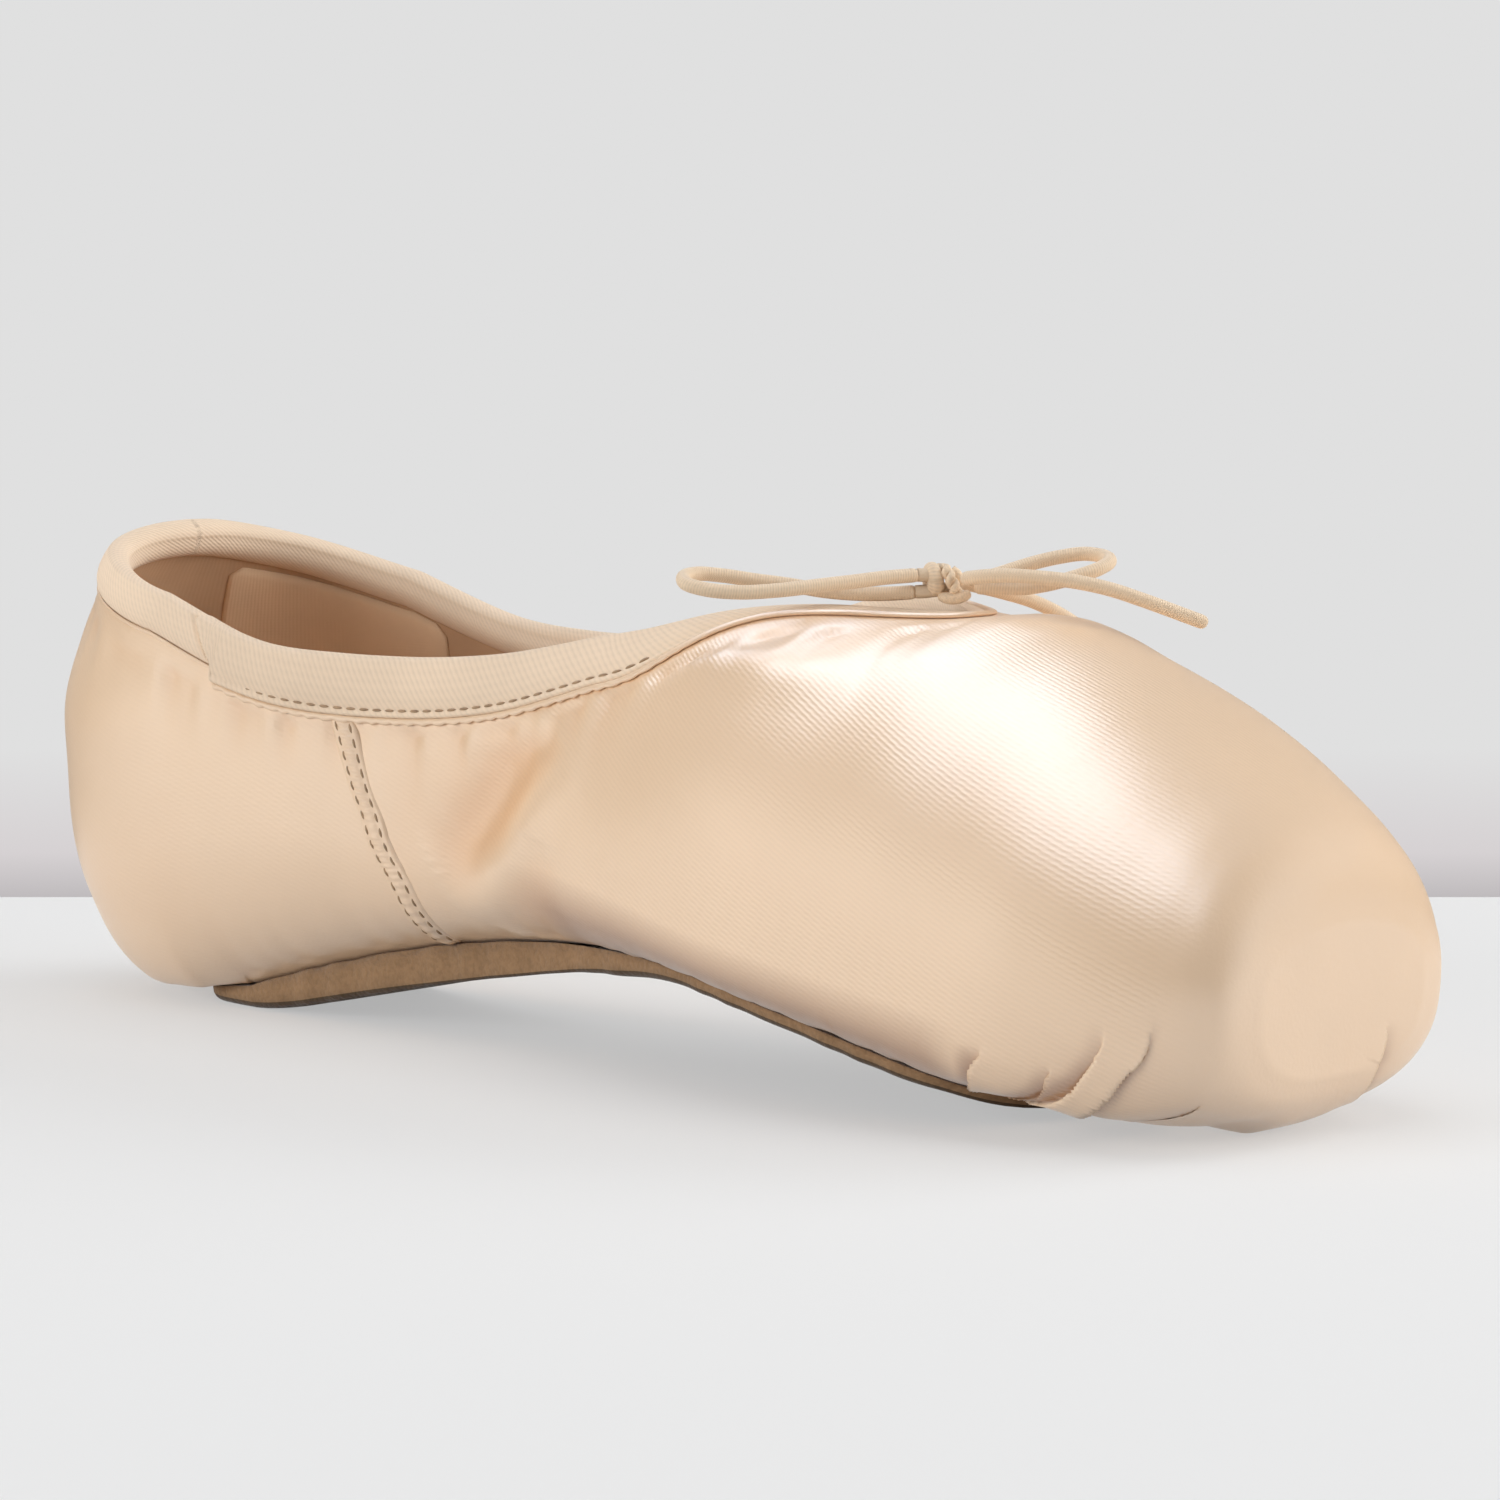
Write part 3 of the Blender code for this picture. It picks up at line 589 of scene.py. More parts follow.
def outsole_half_width(x):
    """The outsole's half width at a place along the foot, nothing beyond its ends."""
    rear = OUTSOLE[0].x
    front = OUTSOLE[-1].x
    inside = np.clip(x, rear, front)
    return plan_half_width(column(OUTSOLE, "half_width", inside), inside, rear, front, OUTSOLE_END_ROUND)


def soft_step(value, start, end):
    """Rises smoothly from 0 at start to 1 at end."""
    t = np.clip((value - start) / (end - start), 0.0, 1.0)
    return t * t * (3 - 2 * t)


def seeded_waves(points, seed, wavelength, count=7):
    """A smooth, patternless wave over space, between about -1 and 1."""
    random = np.random.default_rng(seed)
    total = np.zeros(points.shape[:-1])
    for _ in range(count):
        direction = random.normal(size=3)
        direction /= np.linalg.norm(direction)
        length = wavelength * random.uniform(0.7, 1.5)
        total += np.sin(points @ direction * 2 * math.pi / length + random.uniform(0, 2 * math.pi))
    return total / math.sqrt(count)


def smooth_route(route, step):
    """Points at even steps along a smooth curve through the route's own points."""
    points = np.array(route, float)
    run = np.concatenate([[0.0], np.cumsum(np.linalg.norm(np.diff(points, axis=0), axis=1))])
    fine = np.linspace(0.0, run[-1], 900)
    curve = np.stack([smooth_between(run, points[:, axis], fine) for axis in range(points.shape[1])], -1)
    length = np.concatenate([[0.0], np.cumsum(np.linalg.norm(np.diff(curve, axis=0), axis=1))])
    places = np.linspace(0.0, length[-1], int(round(length[-1] / step)) + 1)
    return np.stack([np.interp(places, length, curve[:, axis]) for axis in range(points.shape[1])], -1)


def crease_reading(route, points):
    """For each point: its distance across a crease, positive to the right of a run down the near side, the way
    across, how far it is past the crease's ends, and its share along it."""
    fine = smooth_route(route, 0.25)
    line = last_point(fine[:, 0], fine[:, 1])
    tangent = unit(np.gradient(line, axis=0))
    across = unit(np.cross(outward(fine[:, 0], fine[:, 1]), tangent))
    run = np.concatenate([[0.0], np.cumsum(np.linalg.norm(np.diff(line, axis=0), axis=1))])
    flat = points.reshape(-1, 3)
    reach = 18.0
    near = np.all((flat > line.min(0) - reach) & (flat < line.max(0) + reach), axis=1)
    signed = np.full(len(flat), 1e3)
    past = np.full(len(flat), 1e3)
    share = np.zeros(len(flat))
    way = np.zeros((len(flat), 3))
    index = np.where(near)[0]
    for part in np.array_split(index, max(1, len(index) // 4000)):
        offset = flat[part, None, :] - line[None, :, :]
        best = (offset**2).sum(-1).argmin(1)
        delta = offset[np.arange(len(part)), best]
        side = (delta * across[best]).sum(-1)
        forward = (delta * tangent[best]).sum(-1)
        distance = np.linalg.norm(delta, axis=-1)
        signed[part] = np.where(side < 0, -distance, distance)
        past[part] = np.where((best == 0) | (best == len(line) - 1), np.abs(forward), 0.0)
        share[part] = run[best] / run[-1]
        way[part] = across[best]
    shape = points.shape[:-1]
    return signed.reshape(shape), way.reshape(points.shape), past.reshape(shape), share.reshape(shape)


def pleat_shape(pleat, points):
    """The satin's rise over a folded edge, its shift across it and the shade painted into its dip: the lip hangs over
    the dip.
    """
    across, way, past, share = crease_reading(pleat.points, points)
    inside = across * pleat.side
    grow = soft_step(share, 0.0, 0.45) * np.exp(-((past / 1.5) ** 2))
    far_in = np.maximum(inside, 0.0)
    far_out = np.maximum(-inside, 0.0)
    on_lip = inside >= 0.0
    lip = pleat.lip * np.exp(-far_in / pleat.reach)
    dip = -pleat.dip * np.exp(-far_out / (pleat.reach * 0.5))
    # The shade is painted shadow: darker colour in the dip beside the lip's edge and under its overhang.
    hidden = 1.2 + (0.85 * (pleat.lip + pleat.dip) if pleat.side > 0 else 0.0)
    shade = min(1.0, pleat.overhang / 0.7) * np.exp(-((far_out / hidden) ** 4)) + 0.35 * np.exp(-far_out / 4.0)
    shade = np.where(on_lip, 0.0, shade) * grow
    hang = -(pleat.overhang + np.minimum(far_in, PLEAT_SNAP)) * (1 - soft_step(far_in, PLEAT_SNAP, pleat.reach * 1.3))
    tuck = (0.2 + np.minimum(far_out, PLEAT_SNAP)) * (1 - soft_step(far_out, PLEAT_SNAP, pleat.reach))
    height = np.where(on_lip, lip, dip) * grow
    shift = np.where(on_lip, hang, tuck) * soft_step(grow, 0.05, 0.5) * pleat.side
    return height, way * shift[..., None], shade


def crease_height(crease, points):
    across, _, past, share = crease_reading(crease.points, points)
    ends = np.sin(np.clip(share, 0.0, 1.0) * math.pi) ** 0.6 * np.exp(-((past / crease.width) ** 2))
    return crease.height * np.exp(-((across / crease.width) ** 2)) * ends


def collar_depth(place, points):
    """Distance from the collar's edge on the near side, large in front of the throat."""
    along = THROAT * (1 - np.linspace(1.0, 0.0, 400) ** 2)
    edge = last_point(along, collar_angle(along))
    flat = points.reshape(-1, 3)
    depth = np.full(len(flat), 99.0)
    index = np.where(place.reshape(-1) < THROAT + 20)[0]
    for part in np.array_split(index, max(1, len(index) // 3000)):
        depth[part] = np.sqrt(((flat[part, None, :] - edge[None]) ** 2).sum(-1).min(1))
    return depth.reshape(place.shape)


def satin_relief(place, angle, points, side):
    """How far the satin stands out from the last and shifts, and how much shade is painted on it, on the near side (1)
    or the far one (-1)."""
    relief = np.zeros(place.shape)
    painted_shade = np.zeros(place.shape)
    shift = np.zeros(points.shape)
    for pleat in PLEATS + (FAR_PLEATS if side < 0 else ()):
        height, sideways, shade = pleat_shape(pleat, points)
        relief += height
        shift += sideways
        painted_shade = np.maximum(painted_shade, shade)
    for crease in CREASES:
        relief += crease_height(crease, points)
    mirrored = points * np.array([1.0, side, 1.0])
    relief += 0.14 * seeded_waves(mirrored, 11, 34.0) * soft_step(np.abs(points[..., 1]), 2.0, 14.0)
    depth = collar_depth(place, points)
    sole_edge = np.abs(points[..., 1]) - outsole_half_width(points[..., 0])
    low_side = soft_step(-angle, 12.0, 30.0)
    beside_sole = np.where(place < OUTSOLE[-1].x + 4, np.clip(sole_edge, 0.0, 60.0), 60.0)
    gather = np.exp(-beside_sole / 5.0) * low_side * soft_step(beside_sole, 0.2, 2.0)
    wave = np.sin(place * 0.9 + 1.3 * np.sin(place * 0.23) + side) + 0.6 * np.sin(place * 0.47 + 2 * side)
    relief += 0.22 * gather * wave
    relief *= soft_step(depth, 8.6, 14.5)
    pucker = soft_step(depth, 8.6, 10.0) * np.exp(-np.maximum(depth - 10.0, 0.0) / 5.0)
    pucker_wave = np.sin(place * 0.55 + 1.1 * np.sin(place * 0.19)) + 0.5 * np.sin(place * 1.23)
    relief += 0.34 * pucker * (pucker_wave - 0.9)
    lifted = soft_step(place, 196.0, 212.0) * (1 - soft_step(place, 236.0, 252.0))
    lifted = lifted * soft_step(-angle, 30.0, 60.0) * soft_step(np.abs(points[..., 1]), 3.0, 12.0)
    relief -= TOE_LIFT * lifted
    height = points[..., 2]
    full = soft_step(place, 196.0, 216.0)
    grown = TOE_GROWTH * full * (1 - (1 - soft_step(angle, -50.0, -10.0)) * (1 - soft_step(place, 240.0, 256.0)))
    grown = grown * (0.3 + 0.7 * soft_step(height, 2.0, 24.0))
    heel = 1 - soft_step(place, 20.0, 45.0)
    grown += heel * (1.1 * np.exp(-(((height - 47.0) / 8.0) ** 2)) + 1.1 * (1 - soft_step(height, 3.0, 16.0)))
    raised = 1.3 * np.exp(-(((place - 216.0) / 9.0) ** 2)) + 1.6 * soft_step(place, 243.0, 256.0)
    lift = raised * (1 - soft_step(height, 0.0, 10.0))
    # Painted shade on the low side, darker further down towards the sole, from the waist to the ball of the foot.
    low = np.clip((-angle - 2.0) / 22.0, 0.0, 1.0) ** 0.7
    painted_shade = np.maximum(painted_shade, 0.9 * low * soft_step(place, 108.0, 126.0) * (1 - soft_step(place, 200.0, 209.0)))
    under_sole = np.where(place < OUTSOLE[-1].x + 1, soft_step(sole_edge, -0.5, 2.5), 1.0)
    open_side = np.where(angle < -12, under_sole, 1.0)
    free = open_side * soft_step(np.abs(points[..., 1]), 0.4, 3.0)
    shift = shift * free[..., None]
    shift[..., 2] += lift * open_side
    return relief * free + grown * open_side, shift, np.clip(painted_shade, 0.0, 1.0)


def material(name):
    """A new material with one Principled BSDF, and helpers to its nodes."""
    made = bpy.data.materials.new(name)
    made.use_nodes = True
    return made, made.node_tree, made.node_tree.nodes["Principled BSDF"]


def add_node(tree, kind, inputs=None, **settings):
    """A node with its settings; an input is a value, or a socket to link."""
    node = tree.nodes.new(kind)
    for key, value in settings.items():
        setattr(node, key, value)
    for key, value in (inputs or {}).items():
        socket = node.inputs[key]
        if isinstance(value, bpy.types.NodeSocket):
            tree.links.new(value, socket)
        else:
            socket.default_value = value
    return node


def new_group(name, inputs, outputs):
    """A shader node group with float inputs (name, default) and outputs (name, socket type)."""
    group = bpy.data.node_groups.new(name, "ShaderNodeTree")
    for label, default in inputs:
        socket = group.interface.new_socket(name=label, in_out="INPUT", socket_type="NodeSocketFloat")
        socket.default_value = default
    group.interface.new_socket(name="Vector", in_out="INPUT", socket_type="NodeSocketVector")
    for label, kind in outputs:
        group.interface.new_socket(name=label, in_out="OUTPUT", socket_type=kind)
    return group, group.nodes.new("NodeGroupInput"), group.nodes.new("NodeGroupOutput")


def weave_group():
    """Slanting threads: a fine ridge pattern on a flat map in millimetres."""
    group, given, result = new_group(
        "Slanting weave",
        (("Pitch", 0.8), ("Slant", 0.6), ("Crossing", 0.8), ("Wander", 0.1)),
        (("Height", "NodeSocketFloat"),),
    )
    noise = add_node(group, "ShaderNodeTexNoise", {"Vector": given.outputs["Vector"], "Scale": 0.35, "Detail": 2.0})
    parts = add_node(group, "ShaderNodeSeparateXYZ", {"Vector": given.outputs["Vector"]})
    sloped = add_node(
        group, "ShaderNodeMath", {0: parts.outputs["Y"], 1: given.outputs["Slant"], 2: parts.outputs["X"]},
        operation="MULTIPLY_ADD",
    )
    wandering = add_node(
        group, "ShaderNodeMath", {0: noise.outputs["Fac"], 1: given.outputs["Wander"], 2: sloped.outputs[0]},
        operation="MULTIPLY_ADD",
    )
    turns = add_node(
        group, "ShaderNodeMath", {0: wandering.outputs[0], 1: given.outputs["Pitch"]}, operation="DIVIDE"
    )
    ping = add_node(group, "ShaderNodeMath", {0: turns.outputs[0], 1: 0.5}, operation="PINGPONG")
    crossing = add_node(
        group, "ShaderNodeMath", {0: parts.outputs["Y"], 1: given.outputs["Crossing"]}, operation="DIVIDE"
    )
    crossing_ping = add_node(group, "ShaderNodeMath", {0: crossing.outputs[0], 1: 0.5}, operation="PINGPONG")
    total = add_node(
        group, "ShaderNodeMath", {0: crossing_ping.outputs[0], 1: 0.35, 2: ping.outputs[0]},
        operation="MULTIPLY_ADD",
    )
    group.links.new(total.outputs[0], result.inputs["Height"])
    return group


def grain_group():
    """Mottled colour shares and fine grain, on object coordinates."""
    group, given, result = new_group(
        "Mottle and grain",
        (("Mottle scale", 60.0), ("Grain scale", 900.0)),
        (("Mottle", "NodeSocketFloat"), ("Grain", "NodeSocketFloat")),
    )
    mottle = add_node(
        group, "ShaderNodeTexNoise",
        {"Vector": given.outputs["Vector"], "Scale": given.outputs["Mottle scale"], "Detail": 3.0},
    )
    grain = add_node(
        group, "ShaderNodeTexNoise",
        {"Vector": given.outputs["Vector"], "Scale": given.outputs["Grain scale"], "Detail": 2.0},
    )
    group.links.new(mottle.outputs["Fac"], result.inputs["Mottle"])
    group.links.new(grain.outputs["Fac"], result.inputs["Grain"])
    return group


def shared_group(name, make):
    return bpy.data.node_groups.get(name) or make()


def use_group(tree, name, make, vector, **values):
    """Places a shared group in a material, with its own values."""
    node = tree.nodes.new("ShaderNodeGroup")
    node.node_tree = shared_group(name, make)
    tree.links.new(vector, node.inputs["Vector"])
    for label, value in values.items():
        node.inputs[label.replace("_", " ").capitalize()].default_value = value
    return node


def shades(tree, share, low, high, start=0.3, end=0.7):
    """A colour that goes from low to high as the share goes from start to end."""
    ramp = add_node(tree, "ShaderNodeValToRGB", {"Fac": share})
    ramp.color_ramp.elements[0].position = start
    ramp.color_ramp.elements[0].color = (*low, 1.0)
    ramp.color_ramp.elements[1].position = end
    ramp.color_ramp.elements[1].color = (*high, 1.0)
    return ramp.outputs["Color"]


def tinted(colour, share):
    return tuple(min(1.0, value * share) for value in colour)


def satin_material():
    settings = bpy.context.scene.shoe_satin
    made, tree, shader = material("Satin")
    place = add_node(tree, "ShaderNodeTexCoord")
    weave = use_group(tree, "Slanting weave", weave_group, place.outputs["UV"], pitch=1.9, slant=2.3, crossing=0.7, wander=0.4)
    cloth = use_group(tree, "Mottle and grain", grain_group, place.outputs["Object"], mottle_scale=38.0, grain_scale=1500.0)
    colour = tuple(settings.colour)
    base = shades(tree, cloth.outputs["Mottle"], tinted(colour, 0.98), tinted(colour, 1.02))
    weave_and_shade = add_node(tree, "ShaderNodeAttribute", attribute_name="cloth")
    parts = add_node(tree, "ShaderNodeSeparateXYZ", {"Vector": weave_and_shade.outputs["Vector"]})
    threads = add_node(
        tree, "ShaderNodeMath", {0: weave.outputs["Height"], 1: parts.outputs["Y"]}, operation="MULTIPLY"
    )
    lines = shades(tree, threads.outputs[0], (0.985, 0.98, 0.975), (1.04, 1.04, 1.04), 0.0, 0.5)
    mixed = add_node(
        tree, "ShaderNodeMix", {"Factor": 1.0, 6: base, 7: lines}, data_type="RGBA", blend_type="MULTIPLY"
    )
    # Painted shade: the troughs darken to a warm tan, the pleats' dips and the low side to a dark brown.
    painted_trough_shade = shades(tree, parts.outputs["X"], (1.0, 1.0, 1.0), (0.93, 0.78, 0.62), 0.0, 1.0)
    painted_shade = shades(tree, parts.outputs["Z"], (1.0, 1.0, 1.0), (0.42, 0.28, 0.17), 0.0, 1.0)
    with_trough_shade = add_node(
        tree, "ShaderNodeMix", {"Factor": 1.0, 6: mixed.outputs[2], 7: painted_trough_shade}, data_type="RGBA", blend_type="MULTIPLY"
    )
    in_painted_shade = add_node(
        tree, "ShaderNodeMix", {"Factor": 1.0, 6: with_trough_shade.outputs[2], 7: painted_shade}, data_type="RGBA", blend_type="MULTIPLY"
    )
    tree.links.new(in_painted_shade.outputs[2], shader.inputs["Base Color"])
    shine = add_node(
        tree, "ShaderNodeMapRange",
        {"Value": cloth.outputs["Grain"], "From Min": 0.3, "From Max": 0.7,
         "To Min": settings.roughness - 0.05, "To Max": settings.roughness + 0.05},
    )
    tree.links.new(shine.outputs["Result"], shader.inputs["Roughness"])
    bump = add_node(
        tree, "ShaderNodeBump", {"Height": threads.outputs[0], "Strength": 0.5, "Distance": 0.00012}
    )
    fuzz = add_node(
        tree, "ShaderNodeBump",
        {"Height": cloth.outputs["Grain"], "Strength": 0.35, "Distance": 0.0001, "Normal": bump.outputs["Normal"]},
    )
    tree.links.new(fuzz.outputs["Normal"], shader.inputs["Normal"])
    shader.inputs["IOR"].default_value = 2.0
    shader.inputs["Specular IOR Level"].default_value = 1.0
    shader.inputs["Coat Weight"].default_value = 0.4
    shader.inputs["Coat Roughness"].default_value = 0.34
    shader.inputs["Sheen Weight"].default_value = 0.1
    shader.inputs["Sheen Roughness"].default_value = 0.4
    return made


def lining_material():
    settings = bpy.context.scene.shoe_sole
    made, tree, shader = material("Lining")
    place = add_node(tree, "ShaderNodeTexCoord")
    weave = use_group(tree, "Slanting weave", weave_group, place.outputs["UV"], pitch=0.7, slant=0.0, crossing=0.7, wander=0.3)
    cloth = use_group(tree, "Mottle and grain", grain_group, place.outputs["Object"], mottle_scale=70.0, grain_scale=1100.0)
    colour = tuple(settings.lining)
    base = shades(tree, cloth.outputs["Mottle"], tinted(colour, 0.88), tinted(colour, 1.06))
    tree.links.new(base, shader.inputs["Base Color"])
    bump = add_node(
        tree, "ShaderNodeBump", {"Height": weave.outputs["Height"], "Strength": 0.3, "Distance": 0.0001}
    )
    tree.links.new(bump.outputs["Normal"], shader.inputs["Normal"])
    shader.inputs["Roughness"].default_value = 0.9
    shader.inputs["Specular IOR Level"].default_value = 0.2
    return made


def twill_material():
    settings = bpy.context.scene.shoe_collar
    made, tree, shader = material("Binding twill")
    place = add_node(tree, "ShaderNodeTexCoord")
    weave = use_group(tree, "Slanting weave", weave_group, place.outputs["UV"], pitch=1.1, slant=1.7, crossing=0.6, wander=0.3)
    cloth = use_group(tree, "Mottle and grain", grain_group, place.outputs["Object"], mottle_scale=50.0, grain_scale=1300.0)
    colour = tuple(settings.colour)
    base = shades(tree, cloth.outputs["Mottle"], tinted(colour, 0.95), tinted(colour, 1.03))
    lines = shades(tree, weave.outputs["Height"], (0.90, 0.90, 0.90), (1.0, 1.0, 1.0), 0.05, 0.45)
    mixed = add_node(
        tree, "ShaderNodeMix", {"Factor": 1.0, 6: base, 7: lines}, data_type="RGBA", blend_type="MULTIPLY"
    )
    tree.links.new(mixed.outputs[2], shader.inputs["Base Color"])
    bump = add_node(
        tree, "ShaderNodeBump", {"Height": weave.outputs["Height"], "Strength": 0.6, "Distance": 0.00015}
    )
    fuzz = add_node(
        tree, "ShaderNodeBump",
        {"Height": cloth.outputs["Grain"], "Strength": 0.35, "Distance": 0.0001, "Normal": bump.outputs["Normal"]},
    )
    tree.links.new(fuzz.outputs["Normal"], shader.inputs["Normal"])
    shader.inputs["Roughness"].default_value = 0.82
    shader.inputs["Specular IOR Level"].default_value = 0.25
    shader.inputs["Sheen Weight"].default_value = 0.1
    return made


def suede_material(name="Suede", depth=1.0):
    settings = bpy.context.scene.shoe_sole
    made, tree, shader = material(name)
    place = add_node(tree, "ShaderNodeTexCoord")
    cloth = use_group(tree, "Mottle and grain", grain_group, place.outputs["Object"], mottle_scale=220.0, grain_scale=1200.0)
    # A depth under 1 gives a darker copy of the suede, which is painted shade.
    colour = tinted(tuple(settings.suede), depth)
    base = shades(tree, cloth.outputs["Mottle"], tinted(colour, 0.92), tinted(colour, 1.06), 0.32, 0.66)
    nap = shades(tree, cloth.outputs["Grain"], (0.84, 0.84, 0.84), (1.0, 1.0, 1.0), 0.35, 0.62)
    mixed = add_node(
        tree, "ShaderNodeMix", {"Factor": 1.0, 6: base, 7: nap}, data_type="RGBA", blend_type="MULTIPLY"
    )
    tree.links.new(mixed.outputs[2], shader.inputs["Base Color"])
    bump = add_node(
        tree, "ShaderNodeBump", {"Height": cloth.outputs["Grain"], "Strength": 0.7, "Distance": 0.0003}
    )
    tree.links.new(bump.outputs["Normal"], shader.inputs["Normal"])
    shader.inputs["Roughness"].default_value = 0.95
    shader.inputs["Specular IOR Level"].default_value = 0.15
    shader.inputs["Sheen Weight"].default_value = 0.25
    return made


def shaded_suede_material():
    """The sole's underside and its edge, in suede darkened as painted shade."""
    return suede_material("Suede in painted shade", 0.32)


def cord_material():
    settings = bpy.context.scene.shoe_bow
    made, tree, shader = material("Elastic cord")
    place = add_node(tree, "ShaderNodeTexCoord")
    ribs = use_group(tree, "Slanting weave", weave_group, place.outputs["UV"], pitch=0.4, slant=0.12, crossing=0.9, wander=0.1)
    cloth = use_group(tree, "Mottle and grain", grain_group, place.outputs["Object"], mottle_scale=250.0, grain_scale=2500.0)
    colour = tuple(settings.colour)
    base = shades(tree, ribs.outputs["Height"], tinted(colour, 0.90), tinted(colour, 1.06), 0.05, 0.45)
    tree.links.new(base, shader.inputs["Base Color"])
    bump = add_node(
        tree, "ShaderNodeBump", {"Height": ribs.outputs["Height"], "Strength": 0.5, "Distance": 0.0002}
    )
    fuzz = add_node(
        tree, "ShaderNodeBump",
        {"Height": cloth.outputs["Grain"], "Strength": 0.4, "Distance": 0.0001, "Normal": bump.outputs["Normal"]},
    )
    tree.links.new(fuzz.outputs["Normal"], shader.inputs["Normal"])
    shader.inputs["Roughness"].default_value = 0.7
    shader.inputs["Sheen Weight"].default_value = 0.15
    return made


def yarn_material():
    settings = bpy.context.scene.shoe_bow
    made, tree, shader = material("Pale yarn")
    place = add_node(tree, "ShaderNodeTexCoord")
    cloth = use_group(tree, "Mottle and grain", grain_group, place.outputs["Object"], mottle_scale=500.0, grain_scale=3000.0)
    colour = tinted(tuple(settings.colour), 1.08)
    base = shades(tree, cloth.outputs["Grain"], tinted(colour, 0.82), tinted(colour, 1.05))
    tree.links.new(base, shader.inputs["Base Color"])
    bump = add_node(
        tree, "ShaderNodeBump", {"Height": cloth.outputs["Mottle"], "Strength": 0.9, "Distance": 0.0004}
    )
    tree.links.new(bump.outputs["Normal"], shader.inputs["Normal"])
    shader.inputs["Roughness"].default_value = 0.9
    shader.inputs["Sheen Weight"].default_value = 0.2
    return made


def patch_material():
    settings = bpy.context.scene.shoe_sole
    made, tree, shader = material("Bare patch")
    place = add_node(tree, "ShaderNodeTexCoord")
    weave = use_group(tree, "Slanting weave", weave_group, place.outputs["UV"], pitch=0.5, slant=0.0, crossing=0.5, wander=0.2)
    cloth = use_group(tree, "Mottle and grain", grain_group, place.outputs["Object"], mottle_scale=90.0, grain_scale=1400.0)
    colour = tuple(settings.patch)
    base = shades(tree, cloth.outputs["Mottle"], tinted(colour, 0.94), tinted(colour, 1.04))
    tree.links.new(base, shader.inputs["Base Color"])
    bump = add_node(
        tree, "ShaderNodeBump", {"Height": weave.outputs["Height"], "Strength": 0.5, "Distance": 0.0001}
    )
    tree.links.new(bump.outputs["Normal"], shader.inputs["Normal"])
    shader.inputs["Roughness"].default_value = 0.85
    shader.inputs["Specular IOR Level"].default_value = 0.2
    return made


def thread_material():
    settings = bpy.context.scene.shoe_satin
    made, tree, shader = material("Sewing thread")
    place = add_node(tree, "ShaderNodeTexCoord")
    cloth = use_group(tree, "Mottle and grain", grain_group, place.outputs["Object"], mottle_scale=900.0, grain_scale=4000.0)
    colour = tuple(settings.thread)
    base = shades(tree, cloth.outputs["Mottle"], tinted(colour, 0.8), tinted(colour, 1.25))
    tree.links.new(base, shader.inputs["Base Color"])
    shader.inputs["Roughness"].default_value = 0.75
    return made


MATERIAL_MAKERS = {
    "Satin": satin_material,
    "Lining": lining_material,
    "Binding twill": twill_material,
    "Suede": suede_material,
    "Suede in painted shade": shaded_suede_material,
    "Elastic cord": cord_material,
    "Pale yarn": yarn_material,
    "Bare patch": patch_material,
    "Sewing thread": thread_material,
}


def finish_of(name):
    return bpy.data.materials.get(name) or MATERIAL_MAKERS[name]()


def new_piece(name, verts, faces, uvs, finishes, replaces=(), face_finish=None, merge=0.0, cloth=None):
    """A smooth piece from points in millimetres on the last, with its finishes, riding the shoe."""
    data = bpy.data.meshes.new(name)
    placed = (np.asarray(verts, float) - np.array([MIDDLE_X, 0.0, 0.0])) * MM
    data.from_pydata(placed.tolist(), [], faces)
    layer = data.uv_layers.new(name="weave")
    corners = np.empty(len(data.loops), dtype=np.int32)
    data.loops.foreach_get("vertex_index", corners)
    if callable(uvs):
        flat = uvs(corners)
    else:
        flat = np.asarray(uvs, float)[corners]
    layer.uv.foreach_set("vector", flat.astype(np.float32).ravel())
    if cloth is not None:
        layer = data.attributes.new("cloth", "FLOAT_VECTOR", "POINT")
        layer.data.foreach_set("vector", np.asarray(cloth, np.float32).ravel())
    for finish in finishes:
        data.materials.append(finish_of(finish))
    if face_finish is not None:
        data.polygons.foreach_set("material_index", np.asarray(face_finish, dtype=np.int32))
    mesh = bmesh.new()
    mesh.from_mesh(data)
    if merge:
        bmesh.ops.remove_doubles(mesh, verts=mesh.verts, dist=merge * MM)
    bmesh.ops.recalc_face_normals(mesh, faces=mesh.faces)
    if mesh.calc_volume(signed=True) < 0:
        bmesh.ops.reverse_faces(mesh, faces=mesh.faces)
    mesh.to_mesh(data)
    mesh.free()
    data.shade_smooth()
    piece = bpy.data.objects.new(name, data)
    bpy.context.scene.collection.objects.link(piece)
    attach(piece, "root")
    if replaces:
        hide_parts(*replaces)
    return piece


def grid_faces(rows, columns, offset=0, closed_rows=False, closed_columns=False):
    """Four-sided faces over a grid of points."""
    faces = []
    for i in range(rows if closed_rows else rows - 1):
        k = (i + 1) % rows
        for j in range(columns if closed_columns else columns - 1):
            m = (j + 1) % columns
            faces.append((
                offset + i * columns + j,
                offset + i * columns + m,
                offset + k * columns + m,
                offset + k * columns + j,
            ))
    return faces


def even_angles(place, low, high, count):
    """Angles along a rib from low to high at even steps over the surface, closer together on its lower side."""
    swing = 0.5 - 0.5 * np.cos(np.linspace(0.0, math.pi, 160))
    fine = np.unique(np.clip(np.concatenate([-90 + 90 * swing, 90 * swing]), low, high))
    points = last_point(place, fine)
    middle = (fine[1:] + fine[:-1]) / 2
    step = np.linalg.norm(np.diff(points, axis=0), axis=1)
    run = np.concatenate([[0.0], np.cumsum(step * (1 + LOW_SIDE_DENSITY * soft_step(-middle, -20.0, 5.0)))])
    if run[-1] < 1e-6:
        return np.linspace(low, high, count + 1)
    return np.interp(np.linspace(0.0, run[-1], count + 1), run, fine)


